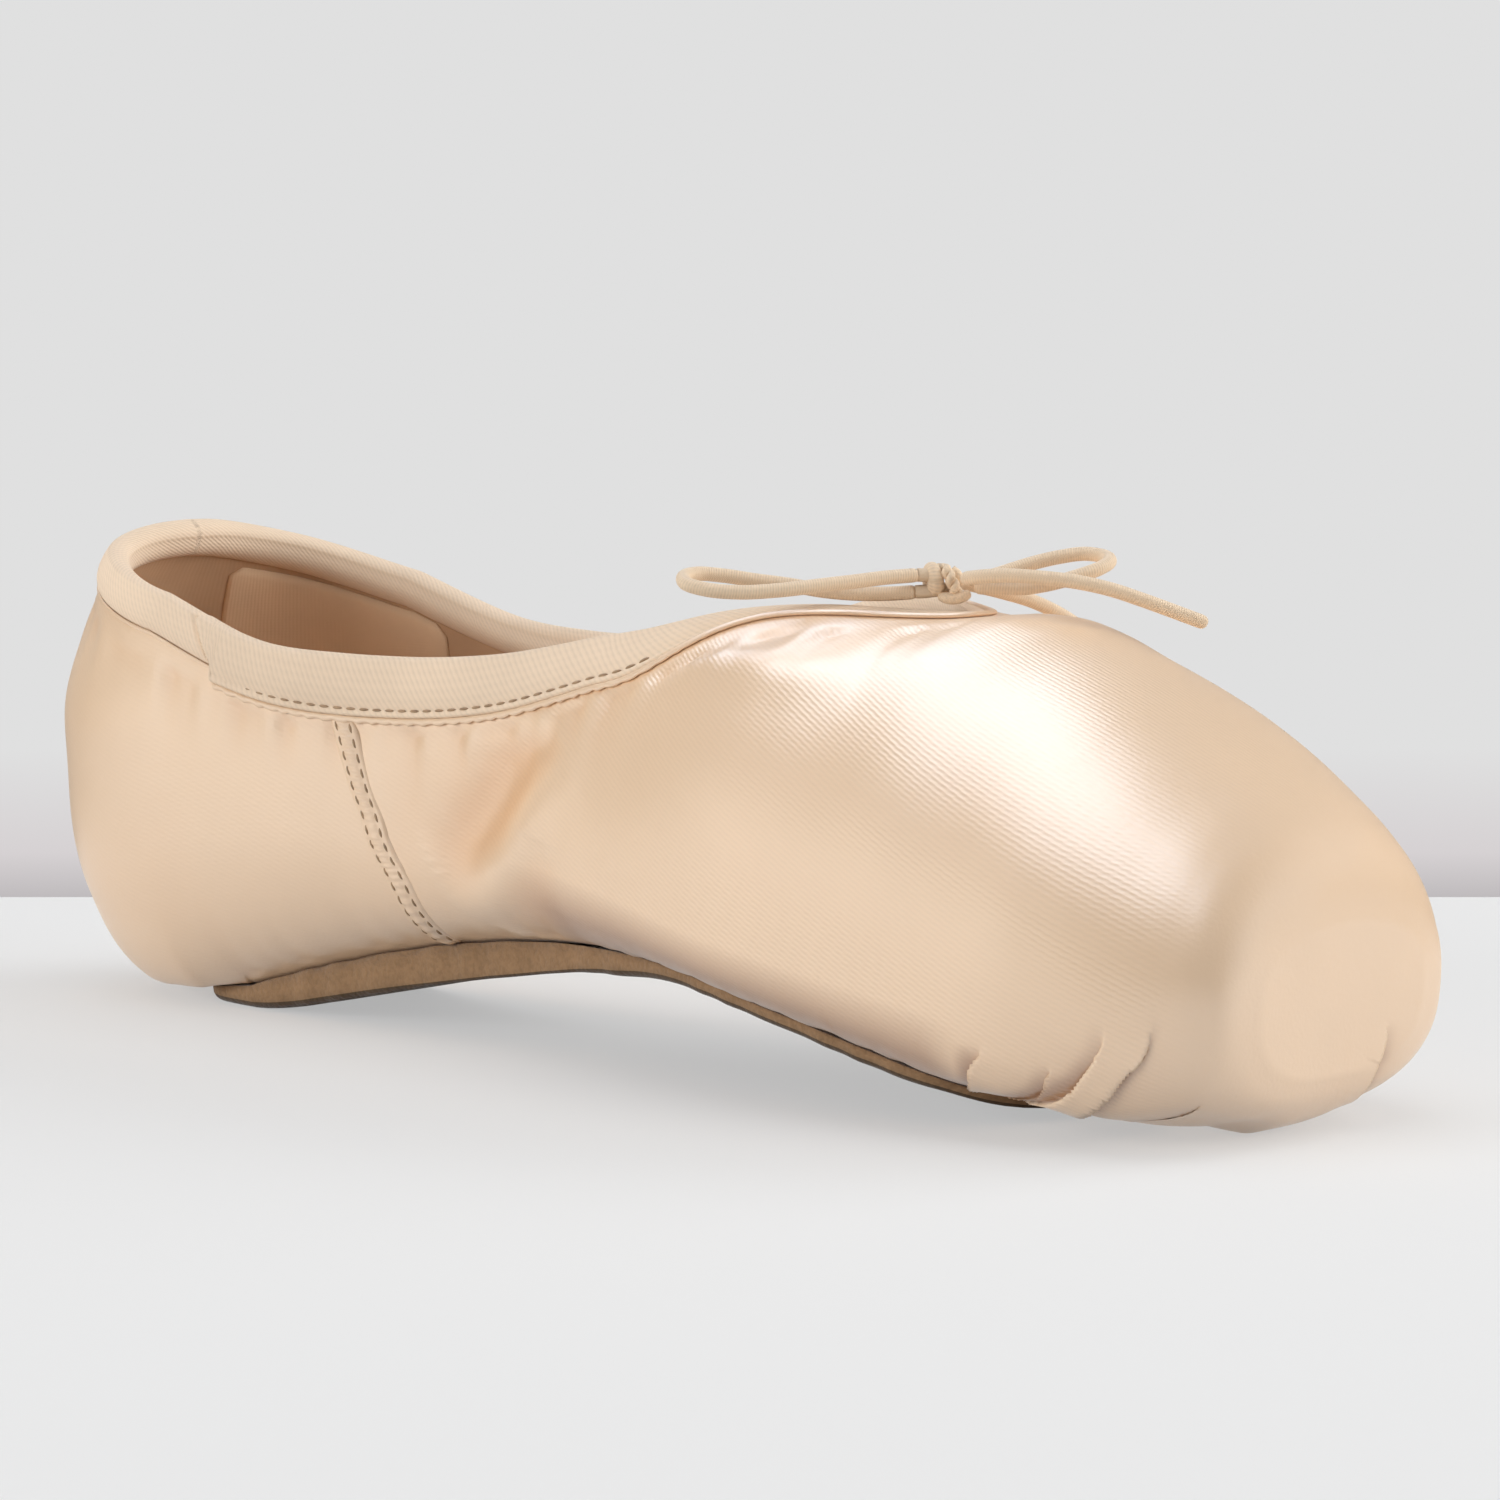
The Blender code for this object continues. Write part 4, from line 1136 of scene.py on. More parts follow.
def upper_stations():
    """Places from the platform's middle back round the heel, and the steps between those on the inner wall."""
    stops = (
        (LAST_PLACE, 1.2),
        (LAST_PLACE - 10.0, TOE_STEP),
        (198.0, 1.0),
        (OPENING_FRONT, 1.0),
        (THROAT, BODY_STEP),
        (OPENING_REAR, BODY_STEP),
        (HEEL_TURN, 0.9),
        (0.0, None),
    )
    places = [LAST_PLACE]
    for (start, step), (end, _) in zip(stops, stops[1:]):
        count = INNER_STRIDE * max(1, math.ceil((start - end) / step / INNER_STRIDE))
        places += list(np.linspace(start, end, count + 1)[1:])
    return np.array(places)


def widest_run(place, angle):
    """Distance round each rib from the last's widest line, up for a positive angle."""
    swing = np.linspace(-1.0, 1.0, 241)
    fine = 90 * np.sign(swing) * np.abs(swing) ** 1.4
    points = last_point(place[:, :1], fine[None, :])
    steps = np.linalg.norm(np.diff(points, axis=1), axis=-1)
    run = np.concatenate([np.zeros((len(place), 1)), np.cumsum(steps, axis=1)], axis=1)
    run -= run[:, 120:121]
    reading = np.stack([np.interp(a, fine, r) for a, r in zip(angle, run)])
    return reading, run[:, -1:]


def build_upper():
    """The satin with its folds and pleats outside, and the plain lining inside, joined at both openings."""
    stations = upper_stations()
    angles = np.stack([
        even_angles(s, float(opening_angle(s)), float(collar_angle(s)), SIDE_COLUMNS) for s in stations
    ])
    place = np.broadcast_to(stations[:, None], angles.shape)
    points = last_point(place, angles)
    normals = outward(place, angles)
    run, crown_run = widest_run(place, angles)
    rows, columns = angles.shape
    sheets, maps, cloth = [], [], []
    for side in (1, -1):
        relief, shift, painted_shade = satin_relief(place, angles, points, side)
        outer = points + normals * relief[..., None] + shift
        outer[..., 2] = np.maximum(outer[..., 2], 0.0)
        inner = points - normals * np.maximum(WALL, THINNEST_WALL - relief)[..., None]
        inner = inner[::INNER_STRIDE, ::INNER_STRIDE]
        flip = np.array([1.0, side, 1.0])
        for sheet in (outer, inner):
            sheet[..., 1] = np.where(np.abs(points[..., 1]) < SMALL, 0.0, sheet[..., 1]) if sheet is outer else sheet[..., 1]
        inner_on_middle = np.abs(points[::INNER_STRIDE, ::INNER_STRIDE, 1]) < SMALL
        inner[..., 1] = np.where(inner_on_middle, 0.0, np.minimum(inner[..., 1], 0.0))
        reading = run if side > 0 else 2 * crown_run - run
        flat = np.stack([place, reading], -1)
        face_flat = np.stack([points[..., 1] * side, points[..., 2]], -1)
        sheets.append((outer * flip, inner * flip))
        weave = (0.35 + 0.65 * soft_step(place, 95.0, 130.0)) * (1 - soft_step(place, 230.0, PLATFORM_PLACE - 9.0))
        # The cloth attribute holds painted shade in the troughs (x), the weave's share (y) and painted shade in the
        # pleats' dips and on the low side (z).
        painted_trough_shade = np.clip(-relief / 1.6, 0.0, 1.0) * (1 - soft_step(place, 150.0, 190.0))
        cloth.append(np.stack([painted_trough_shade, weave, painted_shade], -1).reshape(-1, 3))
        cloth.append(np.zeros((inner.shape[0] * inner.shape[1], 3)))
        maps.append((flat, face_flat))
    verts, uvs, faces, finish = [], [], [], []
    offset = 0
    inner_rows = len(range(0, rows, INNER_STRIDE))
    inner_columns = len(range(0, columns, INNER_STRIDE))
    collar_open = collar_angle(stations) < 90 - 1e-6
    floor_open = opening_angle(stations) > -90 + 1e-6
    for (outer, inner), (flat, face_flat) in zip(sheets, maps):
        on_face = place > PLATFORM_PLACE - 8.0
        verts.append(outer.reshape(-1, 3))
        uvs.append(np.where(on_face[..., None], face_flat, flat).reshape(-1, 2))
        made = grid_faces(rows, columns, offset)
        faces += made
        finish += [0] * len(made)
        inner_offset = offset + rows * columns
        verts.append(inner.reshape(-1, 3))
        uvs.append(flat[::INNER_STRIDE, ::INNER_STRIDE].reshape(-1, 2))
        made = grid_faces(inner_rows, inner_columns, inner_offset)
        faces += made
        finish += [1] * len(made)
        for is_open, at, inner_at in ((collar_open, columns - 1, inner_columns - 1), (floor_open, 0, 0)):
            for i in range(inner_rows - 1):
                first = i * INNER_STRIDE
                if not (is_open[first] or is_open[first + INNER_STRIDE]):
                    continue
                outer_edge = [offset + (first + k) * columns + at for k in range(INNER_STRIDE + 1)]
                inner_edge = [inner_offset + (i + 1) * inner_columns + inner_at, inner_offset + i * inner_columns + inner_at]
                faces.append(tuple(outer_edge + inner_edge))
                finish.append(1)
        offset = inner_offset + inner_rows * inner_columns
    return new_piece(
        "satin_upper", np.concatenate(verts), faces, np.concatenate(uvs), ("Satin", "Lining"),
        replaces=("upper",), face_finish=finish, merge=0.01, cloth=np.concatenate(cloth),
    )


def collar_stations(count):
    """Places along the near collar edge at even steps, from the back of the heel to the throat, and closer
    together at the binding's joint."""
    fine = THROAT * (1 - np.linspace(1.0, 0.0, 2401) ** 2)
    points = last_point(fine, collar_angle(fine))
    run = np.concatenate([[0.0], np.cumsum(np.linalg.norm(np.diff(points, axis=0), axis=1))])
    even = np.interp(np.linspace(0.0, run[-1], count + 1), run, fine)
    close = np.linspace(JOINT_TOP - 1.0, JOINT_FOOT + 1.0, 26)
    return np.concatenate([even[even < close[0] - 0.3], close, even[even > close[-1] + 0.3]])


def collar_frame(along):
    """Edge points of the near collar with their outward normals and the way down the surface."""
    edge = last_point(along, collar_angle(along))
    flip = np.array([1.0, -1.0, 1.0])
    before = np.concatenate([edge[1:2] * flip, edge[:-1]])
    after = np.concatenate([edge[1:], edge[-2:-1] * flip])
    tangent = unit(after - before)
    angle = np.minimum(collar_angle(along), 90.0 - SMALL)
    normal = outward(np.maximum(along, SMALL), angle)
    normal[[0, -1], 1] = 0.0
    normal = unit(normal)
    return edge, normal, unit(np.cross(tangent, normal))


def walk_down(along, distance, step=1.0):
    """Points, normals, places and angles at a distance down the surface from the collar's edge, square to it."""
    edge, normal, down = collar_frame(along)
    place = np.array(along, float)
    angle = np.minimum(collar_angle(along), 90.0)
    distance = np.broadcast_to(distance, place.shape)
    steps = max(1, int(round(float(distance.max()) / step)))
    point = edge
    for _ in range(steps):
        forward, upward = slopes_at(np.clip(place, 0.05, None), angle)
        pull = down * (distance / steps)[:, None]
        a = (forward * forward).sum(-1)
        b = (forward * upward).sum(-1)
        c = (upward * upward).sum(-1)
        p = (forward * pull).sum(-1)
        q = (upward * pull).sum(-1)
        det = a * c - b * b
        place = place + (p * c - q * b) / det
        angle = angle + (q * a - p * b) / det
        normal = outward(np.clip(place, 0.05, None), angle)
        down = unit(down - normal * (down * normal).sum(-1, keepdims=True))
        point = last_point(place, angle)
    for values in (point, normal):
        values[[0, -1], 1] = 0.0
    return point, unit(normal), place, angle


COLLAR_COUNT = 210
ProfilePoint = namedtuple("ProfilePoint", "depth stand")
BINDING_OUTSIDE = (
    ProfilePoint(0.0, 1.22),
    ProfilePoint(1.5, 1.36),
    ProfilePoint(3.4, 1.42),
    ProfilePoint(4.9, 1.25),
    ProfilePoint(5.9, 0.95),
    ProfilePoint(6.4, 0.72),
    ProfilePoint(6.9, 0.92),
    ProfilePoint(7.3, 0.88),
    ProfilePoint(7.5, 0.60),
)
PLAIN_OUTSIDE = (
    ProfilePoint(0.0, 1.22),
    ProfilePoint(1.5, 1.40),
    ProfilePoint(3.0, 1.42),
    ProfilePoint(4.2, 1.20),
    ProfilePoint(5.0, 0.85),
    ProfilePoint(5.4, 0.50),
)
BINDING_INSIDE = (
    ProfilePoint(0.0, 0.75),
    ProfilePoint(1.4, 1.35),
    ProfilePoint(3.0, 1.75),
    ProfilePoint(4.6, 1.65),
    ProfilePoint(6.2, 1.20),
    ProfilePoint(7.5, 0.60),
)
INSIDE_SHARE = 0.62
BINDING_REST = 0.35
STITCH_DEPTH = 6.4
STITCHES_END = 138.0


def profile_stand(table, depth):
    return np.interp(depth, [row.depth for row in table], [row.stand for row in table])


def joined_share(along):
    """0 on the plain binding round the heel, 1 in front of its joint."""
    return soft_step(along, JOINT_FOOT - 0.5, JOINT_FOOT + 0.5)


def throat_share(along):
    """0 along the sides of the collar, 1 round the throat, where the drawstring pulls the binding in."""
    return soft_step(along, 130.0, 156.0)


def outside_share(along):
    """The binding's depth outside as a share of its greatest."""
    return (PLAIN_SHARE + (1 - PLAIN_SHARE) * joined_share(along)) * (1 - 0.58 * throat_share(along))


def roll_share(along):
    """How high the fold over the collar's edge stands: flatter round the heel and at the throat."""
    return (0.5 + 0.5 * soft_step(along, 52.0, 76.0)) * (1 - 0.6 * throat_share(along))


def joint_rise(along, depth):
    """The tape's overlapping end stands out a little where it starts, and less further on."""
    start = JOINT_TOP + (JOINT_FOOT - JOINT_TOP) * depth / BINDING_DEPTH
    over = 1.0 * soft_step(along, start - 0.25, start + 0.25) * np.exp(-np.maximum(along - start, 0.0) / 6.0)
    return over - 0.8 * np.exp(-(((along - start + 0.65) / 0.45) ** 2))


def whole_collar(rows, far_rows=None):
    """Rows of the near side, and the same or others mirrored back along the far side, as one ring."""
    far = (rows if far_rows is None else far_rows)[-2:0:-1] * np.array([1.0, -1.0, 1.0])
    return np.concatenate([rows, far])


def binding_rows(along, joint):
    """The tape's sections along one side, with its joint there or not, and the profile they share."""
    edge, normal, down = collar_frame(along)
    joined = joined_share(along)
    plain = np.ones_like(along)
    share = outside_share(along)
    flat = 1 - 0.5 * throat_share(along)
    profile = []
    for depth in np.concatenate([np.linspace(7.5, 5.7, 9), np.linspace(5.1, 0.6, 9)]):
        stitched = profile_stand(BINDING_OUTSIDE, depth)
        smooth = profile_stand(PLAIN_OUTSIDE, depth * PLAIN_SHARE)
        stand = smooth + (stitched - smooth) * joined + joint * joint_rise(along, depth)
        profile.append((depth * share, stand * flat))
    face = (BINDING_OUTSIDE[0].stand + joint * joint_rise(along, 0.0)) * flat
    back = -WALL - BINDING_INSIDE[0].stand
    for turn in np.linspace(0.0, math.pi, 13):
        rise = (face - back) / 2 * math.sin(turn) * roll_share(along)
        profile.append((-rise, (face + back) / 2 + (face - back) / 2 * math.cos(turn)))
    for depth in (0.8, 2.0, 3.4, 4.8, 6.0, 6.9, 7.5):
        profile.append((depth * INSIDE_SHARE * plain, -WALL - profile_stand(BINDING_INSIDE, depth) * plain))
    for depth in (7.5, 4.0):
        profile.append((depth * INSIDE_SHARE * plain, (-WALL - LINING_GAP) * plain))
    profile.append((-0.2 * plain, (-WALL - LINING_GAP) * plain))
    profile.append((-0.2 * plain, BINDING_REST * plain))
    for depth in (4.0, 7.5):
        profile.append((depth * share, BINDING_REST * plain))
    columns = []
    for depth, stand in profile:
        if depth.max() > 0.0:
            point, facing, _, _ = walk_down(along, depth)
            columns.append(point + facing * stand[:, None])
        else:
            columns.append(edge + down * depth[:, None] + normal * stand[:, None])
    rows = np.stack(columns, 1)
    rows[[0, -1], :, 1] = 0.0
    return rows, profile


def build_binding():
    """The twill tape folded over the collar's edge, pulled in along its stitches in front of its joint."""
    along = collar_stations(COLLAR_COUNT)
    rows, profile = binding_rows(along, 1.0)
    ring = whole_collar(rows, binding_rows(along, 0.0)[0])
    count, across = ring.shape[:2]
    lengthwise = np.concatenate([[0.0], np.cumsum(np.linalg.norm(np.diff(ring[:, 9], axis=0), axis=1))])
    section = np.array([(depth[-1], stand[-1]) for depth, stand in profile])
    crosswise = np.concatenate([[0.0], np.cumsum(np.linalg.norm(np.diff(section, axis=0), axis=1))])
    uvs = np.stack(np.broadcast_arrays(lengthwise[:, None], crosswise[None, :]), -1)
    faces = grid_faces(count, across, closed_rows=True, closed_columns=True)
    return new_piece(
        "twill_binding", ring.reshape(-1, 3), faces, uvs.reshape(-1, 2), ("Binding twill",),
        replaces=("collar_binding",),
    )


def build_piping():
    """The satin's rolled edge along the foot of the binding, slight round the heel."""
    along = collar_stations(COLLAR_COUNT)
    point, normal, _, _ = walk_down(along, BINDING_DEPTH * outside_share(along) + PIPING_RADIUS)
    _, _, down = collar_frame(along)
    across = unit(down - normal * (down * normal).sum(-1, keepdims=True))
    across[[0, -1], 1] = 0.0
    run = np.concatenate([[0.0], np.cumsum(np.linalg.norm(np.diff(point, axis=0), axis=1))])
    puckers = np.sin(run * 2.2 + 1.2 * np.sin(run * 0.31)) * joined_share(along) * (1 - throat_share(along))
    size = (0.4 + 0.3 * joined_share(along) + 0.1 * throat_share(along) + 0.1 * puckers)[:, None]
    middle = point + normal * (GAP * size + 0.2) + across * (0.12 * puckers)[:, None]
    sides = 12
    columns = []
    for i in range(sides):
        turn = 2 * math.pi * i / sides
        columns.append(middle + size * (0.5 * normal * math.cos(turn) + 0.75 * across * math.sin(turn)))
    rows = np.stack(columns, 1)
    rows[[0, -1], :, 1] = 0.0
    ring = whole_collar(rows)
    count = len(ring)
    lengthwise = np.concatenate([[0.0], np.cumsum(np.linalg.norm(np.diff(ring[:, 0], axis=0), axis=1))])
    flat = np.stack(np.broadcast_arrays(lengthwise[:, None], (np.arange(sides) * 0.37)[None, :]), -1)
    faces = grid_faces(count, sides, closed_rows=True, closed_columns=True)
    return new_piece(
        "satin_fold", ring.reshape(-1, 3), faces, flat.reshape(-1, 2), ("Satin",),
        replaces=("collar_piping",),
    )


def tube_rows(path, radius, sides, closed=False):
    """Rings of points round a path, carried along it without twisting."""
    path = np.asarray(path, float)
    if closed:
        tangent = unit(np.roll(path, -1, axis=0) - np.roll(path, 1, axis=0))
    else:
        tangent = unit(np.gradient(path, axis=0))
    side = np.cross(tangent[0], [0.0, 0.0, 1.0])
    if np.linalg.norm(side) < 0.2:
        side = np.cross(tangent[0], [0.0, 1.0, 0.0])
    side = unit(side)
    radius = np.broadcast_to(radius, len(path))
    turns = 2 * math.pi * np.arange(sides) / sides
    rings = []
    for here, along, size in zip(path, tangent, radius):
        side = unit(side - along * (side @ along))
        other = np.cross(along, side)
        rings.append(here + size * (np.cos(turns)[:, None] * side + np.sin(turns)[:, None] * other))
    return np.stack(rings)


def build_cord(name, route, node):
    """A free stretch of the drawstring, as a tube on its route."""
    diameter = bpy.context.scene.shoe_bow.diameter / MM
    path = smooth_route(route, 0.4)
    length = np.concatenate([[0.0], np.cumsum(np.linalg.norm(np.diff(path, axis=0), axis=1))])
    sides = 16
    end = np.minimum(length, length[-1] - length)
    radius = diameter / 2 * (1 - 0.35 * np.exp(-end / 0.25))
    rows = tube_rows(path, radius, sides)
    verts = np.concatenate([rows.reshape(-1, 3), path[:1], path[-1:]])
    around = np.arange(sides) / sides * math.pi * diameter
    flat = np.stack(np.broadcast_arrays(length[:, None], around[None, :]), -1).reshape(-1, 2)
    flat = np.concatenate([flat, [[0.0, 0.0]], [[length[-1], 0.0]]])
    faces = grid_faces(len(path), sides, closed_columns=True)
    first, last = len(verts) - 2, len(verts) - 1
    start = (len(path) - 1) * sides
    finish = [0] * len(faces)
    for j in range(sides):
        k = (j + 1) % sides
        faces.append((first, k, j))
        faces.append((last, start + j, start + k))
        finish += [1, 1]
    piece = new_piece(
        name, verts, faces, flat, ("Elastic cord", "Pale yarn"), replaces=(node,), face_finish=finish
    )
    placed = [tuple((np.array(p) - np.array([MIDDLE_X, 0.0, 0.0])) * MM) for p in smooth_route(route, 2.0)]
    return piece


def build_knot():
    """The bow's knot: an upright turn of cord, a pale yarn twisted round it and a soft lump under it."""
    centre = np.array(KNOT_CENTRE)
    run = np.array([0.743, 0.669, 0.0])
    rise = np.array([0.0, 0.0, 1.0])
    depth = np.cross(run, rise)
    verts, faces, flat, finish = [], [], [], []

    def add_tube(path, radius, sides, closed, pale):
        offset = sum(len(part) for part in verts)
        rows = tube_rows(path, radius, sides, closed=closed)
        count = len(rows)
        made = grid_faces(count, sides, offset, closed_rows=closed, closed_columns=True)
        if not closed:
            made.append(tuple(offset + j for j in range(sides))[::-1])
            made.append(tuple(offset + (count - 1) * sides + j for j in range(sides)))
        length = np.linspace(0.0, 9.0, count)
        verts.append(rows.reshape(-1, 3))
        faces.extend(made)
        finish.extend([1 if pale else 0] * len(made))
        flat.append(np.stack(np.broadcast_arrays(length[:, None], (np.arange(sides) * 0.47)[None, :]), -1).reshape(-1, 2))

    def placed(points):
        points = smooth_route(points, 0.2)
        return centre + points[:, :1] * run + points[:, 1:2] * depth + points[:, 2:] * rise

    angle = 2 * math.pi * np.arange(40) / 40
    upright = centre - run * 1.6 + rise * 0.1
    upright = upright + np.outer(np.cos(angle), depth) * 0.9 + np.outer(np.sin(angle), rise) * 1.4
    upright = upright + np.outer(np.cos(angle) * 0.35 - np.sin(angle) * 0.15, run)
    add_tube(upright, 1.2 - 0.12 * np.sin(angle), 16, True, False)
    for stub in (((-3.9, 0.9, 0.72), (-2.4, 0.6, 0.66), (-1.4, 0.3, 0.6)), ((-4.15, 0.42, -1.78), (-2.6, 0.35, -1.7), (-1.0, 0.2, -1.5))):
        add_tube(placed(stub), 1.0, 14, False, False)
    for phase in (0.0, math.pi):
        middle = placed(((-0.5, -1.3, 1.7), (0.2, 0.6, 1.5), (0.9, 1.6, 0.2), (1.5, 1.5, -1.1), (2.0, 0.6, -2.3)))
        twist = np.linspace(0.0, 4.5 * math.pi, len(middle)) + phase
        middle = middle + np.outer(np.cos(twist), run) * 0.42 + np.outer(np.sin(twist), depth) * 0.42
        add_tube(middle, 0.6, 10, False, True)
    low = placed(((-0.6, 0.6, -2.3), (0.4, 1.1, -2.6), (1.7, 1.2, -2.6), (2.8, 0.8, -2.4), (3.5, 0.2, -2.1)))
    add_tube(low, 0.95 * np.sin(np.linspace(0.5, math.pi - 0.5, len(low))) ** 0.5, 12, False, True)
    back = placed(((-1.6, -0.9, -1.2), (-0.4, -1.3, -1.5), (1.0, -1.3, -1.3), (2.0, -0.8, -0.6), (1.9, -0.3, 0.4), (1.0, -0.5, 1.2)))
    add_tube(back, 0.95, 12, False, True)
    return new_piece(
        "drawstring_knot", np.concatenate(verts), faces, np.concatenate(flat), ("Elastic cord", "Pale yarn"),
        replaces=("bow_knot",), face_finish=finish,
    )


def build_outsole():
    """The suede sole, with a rounded edge and its underside in darker suede as painted shade."""
    rear, front = OUTSOLE[0].x, OUTSOLE[-1].x
    stations = np.concatenate([
        rear + np.array([0.05, 0.3, 0.8, 1.6, 2.6, 3.8]),
        np.linspace(rear + 5.2, front - 5.2, 140),
        front - np.array([3.8, 2.6, 1.6, 0.8, 0.3, 0.05]),
    ])
    rings = []
    for x in stations:
        width = float(outsole_half_width(x))
        bottom = float(column(OUTSOLE, "bottom_z", x))
        bottom -= 0.9 * float(soft_step(x, 36.0, 58.0) * (1 - soft_step(x, 100.0, 122.0)))
        bottom = max(bottom + 1.2 * float(soft_step(x, 124.0, 142.0) * (1 - soft_step(x, 194.0, 204.0))), 0.0)
        ruffle = 0.18 * math.sin(x * 0.7 + 1.4 * math.sin(x * 0.21))
        width = max(width + ruffle, 0.5)
        y = np.sin(np.linspace(-math.pi / 2, math.pi / 2, 25)) * width
        shown = x - 2.4 * (1 - float(soft_step(x, rear, rear + 26.0)))
        top_z = underside_offset(np.full_like(y, shown), y, -SOLE_GAP)
        top = np.stack([np.full_like(y, shown), y, top_z], -1)
        waist = float(soft_step(x, 66.0, 88.0) * (1 - soft_step(x, 110.0, 132.0)))
        bevel = min(1.8 - waist, width * 0.4, max(0.3, (top_z[-1] - bottom) * 0.7))
        side = []
        for turn in np.linspace(0.0, 90.0, 5):
            t = math.radians(turn)
            side.append((shown, width - bevel * (1 - math.cos(t)), bottom + bevel * (1 - math.sin(t))))
        side = np.array(side)
        flat = np.linspace(width - bevel, -(width - bevel), 17)[1:-1]
        under = np.stack([np.full_like(flat, shown), flat, np.full_like(flat, bottom)], -1)
        ring = np.concatenate([top, side, under, side[::-1] * np.array([1.0, -1.0, 1.0])])
        rings.append(ring)
    rows = np.stack(rings)
    count, across = rows.shape[:2]
    faces = grid_faces(count, across, closed_columns=True)
    # The underside's faces take the darker suede, painted shade where the sole faces the floor.
    in_painted_shade = [1 if 26 <= face[0] % across <= 47 else 0 for face in faces]
    faces.append(tuple(range(across))[::-1])
    faces.append(tuple((count - 1) * across + j for j in range(across)))
    flat = rows.reshape(-1, 3)[:, :2]
    return new_piece(
        "suede_outsole", rows.reshape(-1, 3), faces, flat, ("Suede", "Suede in painted shade"),
        replaces=("outsole",), face_finish=in_painted_shade + [0, 0],
    )


def build_insole():
    """The canvas sock inside the shoe."""
    stations = np.concatenate([
        INSOLE_REAR + np.array([0.2, 0.9, 2.2, 4.2]),
        np.linspace(INSOLE_REAR + 7.0, INSOLE_FRONT - 7.0, 60),
        INSOLE_FRONT - np.array([4.2, 2.2, 0.9, 0.2]),
    ])
    rings = []
    for x in stations:
        section, _ = section_at(max(x, HEEL_TURN))
        width = float(section["half_width"]) * INSOLE_SHARE
        width = float(plan_half_width(width, x, INSOLE_REAR, INSOLE_FRONT, INSOLE_END_ROUND))
        y = np.linspace(-1.0, 1.0, 25) * width
        floor = underside_offset(np.full_like(y, x), y, WALL + INSOLE_GAP)
        under = np.stack([np.full_like(y, x), y, floor], -1)
        crown = INSOLE_THICKNESS * np.sqrt(np.clip(1 - (np.abs(y) / max(width, 0.1)) ** 8, 0.15, 1.0))
        over = under[::-1] + np.stack([np.zeros_like(y), np.zeros_like(y), crown[::-1]], -1)
        rings.append(np.concatenate([under, over]))
    rows = np.stack(rings)
    count, across = rows.shape[:2]
    faces = grid_faces(count, across, closed_columns=True)
    faces.append(tuple(range(across))[::-1])
    faces.append(tuple((count - 1) * across + j for j in range(across)))
    flat = rows.reshape(-1, 3)[:, :2]
    return new_piece("canvas_insole", rows.reshape(-1, 3), faces, flat, ("Lining",), replaces=("insole",))


def build_patch():
    """The size and material patch on the lining of the heel's far side, bare, with rounded corners."""
    drops = np.linspace(PATCH_HEIGHT, 0.0, 13)
    shares = np.linspace(0.0, 1.0, 41)
    rise = np.minimum(drops, PATCH_HEIGHT - drops)
    corner = 2.0
    inset = corner - np.sqrt(corner**2 - np.maximum(corner - rise, 0.0) ** 2)
    place = PATCH_REAR + inset[:, None] + shares[None, :] * (PATCH_FRONT - PATCH_REAR - 2 * inset)[:, None]
    heights = column(COLLAR, "height", place) - PATCH_BELOW_COLLAR - drops[:, None]
    angle = angle_at_height(place, heights)
    normal = outward(place, angle)
    point = last_point(place, angle)
    edge = np.minimum(rise[:, None], np.minimum(shares, 1 - shares)[None, :] * (PATCH_FRONT - PATCH_REAR))
    thickness = 0.25 + 0.25 * soft_step(edge, 0.0, 1.2)
    flip = np.array([1.0, -1.0, 1.0])
    front = (point - normal * (WALL + thickness)[..., None]) * flip
    back = (point - normal * (WALL + 0.05)) * flip
    rows, columns = place.shape
    verts = np.concatenate([front.reshape(-1, 3), back.reshape(-1, 3)])
    faces = grid_faces(rows, columns)
    faces += [face[::-1] for face in grid_faces(rows, columns, rows * columns)]
    rim = [j for j in range(columns)]
    rim += [i * columns + columns - 1 for i in range(1, rows)]
    rim += [(rows - 1) * columns + j for j in range(columns - 2, -1, -1)]
    rim += [i * columns for i in range(rows - 2, 0, -1)]
    for here, there in zip(rim, rim[1:] + rim[:1]):
        faces.append((here, there, there + rows * columns, here + rows * columns))
    flat = np.stack([place, heights], -1).reshape(-1, 2)
    return new_piece("bare_patch", verts, faces, np.concatenate([flat, flat]), ("Bare patch",))


SEAM_PROFILE = (
    ProfilePoint(-2.6, -0.20),
    ProfilePoint(-2.2, 0.12),
    ProfilePoint(-1.8, 0.30),
    ProfilePoint(-1.35, 0.20),
    ProfilePoint(-0.9, 0.50),
    ProfilePoint(0.0, 0.62),
    ProfilePoint(0.9, 0.50),
    ProfilePoint(1.35, 0.20),
    ProfilePoint(1.8, 0.32),
    ProfilePoint(2.2, 0.08),
    ProfilePoint(2.6, -0.20),
)


def build_side_seam(side):
    """The raised seam of a quarter, pinched by its two rows of stitches."""
    profile = np.array(SEAM_PROFILE, float)
    rings = []
    for share in np.linspace(0.0, 1.0, 150):
        along = float(column(SEAM, "along", share))
        angle = float(column(SEAM, "angle", share))
        cross = profile[:, 0]
        point = last_point(along + cross, angle)
        normal = outward(along + cross, np.full_like(cross, angle))
        ripple = 0.1 * math.sin(share * 205.0) * (1 - np.abs(cross) / SEAM_HALF_WIDTH)
        over = point + normal * (profile[:, 1] + ripple)[:, None]
        under = (point - normal * 0.3)[::-1]
        rings.append(np.concatenate([over, under]))
    rows = np.stack(rings) * np.array([1.0, side, 1.0])
    count, across = rows.shape[:2]
    faces = grid_faces(count, across, closed_columns=True)
    faces.append(tuple(range(across))[::-1])
    faces.append(tuple((count - 1) * across + j for j in range(across)))
    flat = rows.reshape(-1, 3)[:, [0, 2]]
    name = "near" if side > 0 else "far"
    return new_piece(
        f"quarter_seam_{name}", rows.reshape(-1, 3), faces, flat, ("Satin",),
        replaces=(f"side_seam_{name}",),
    )


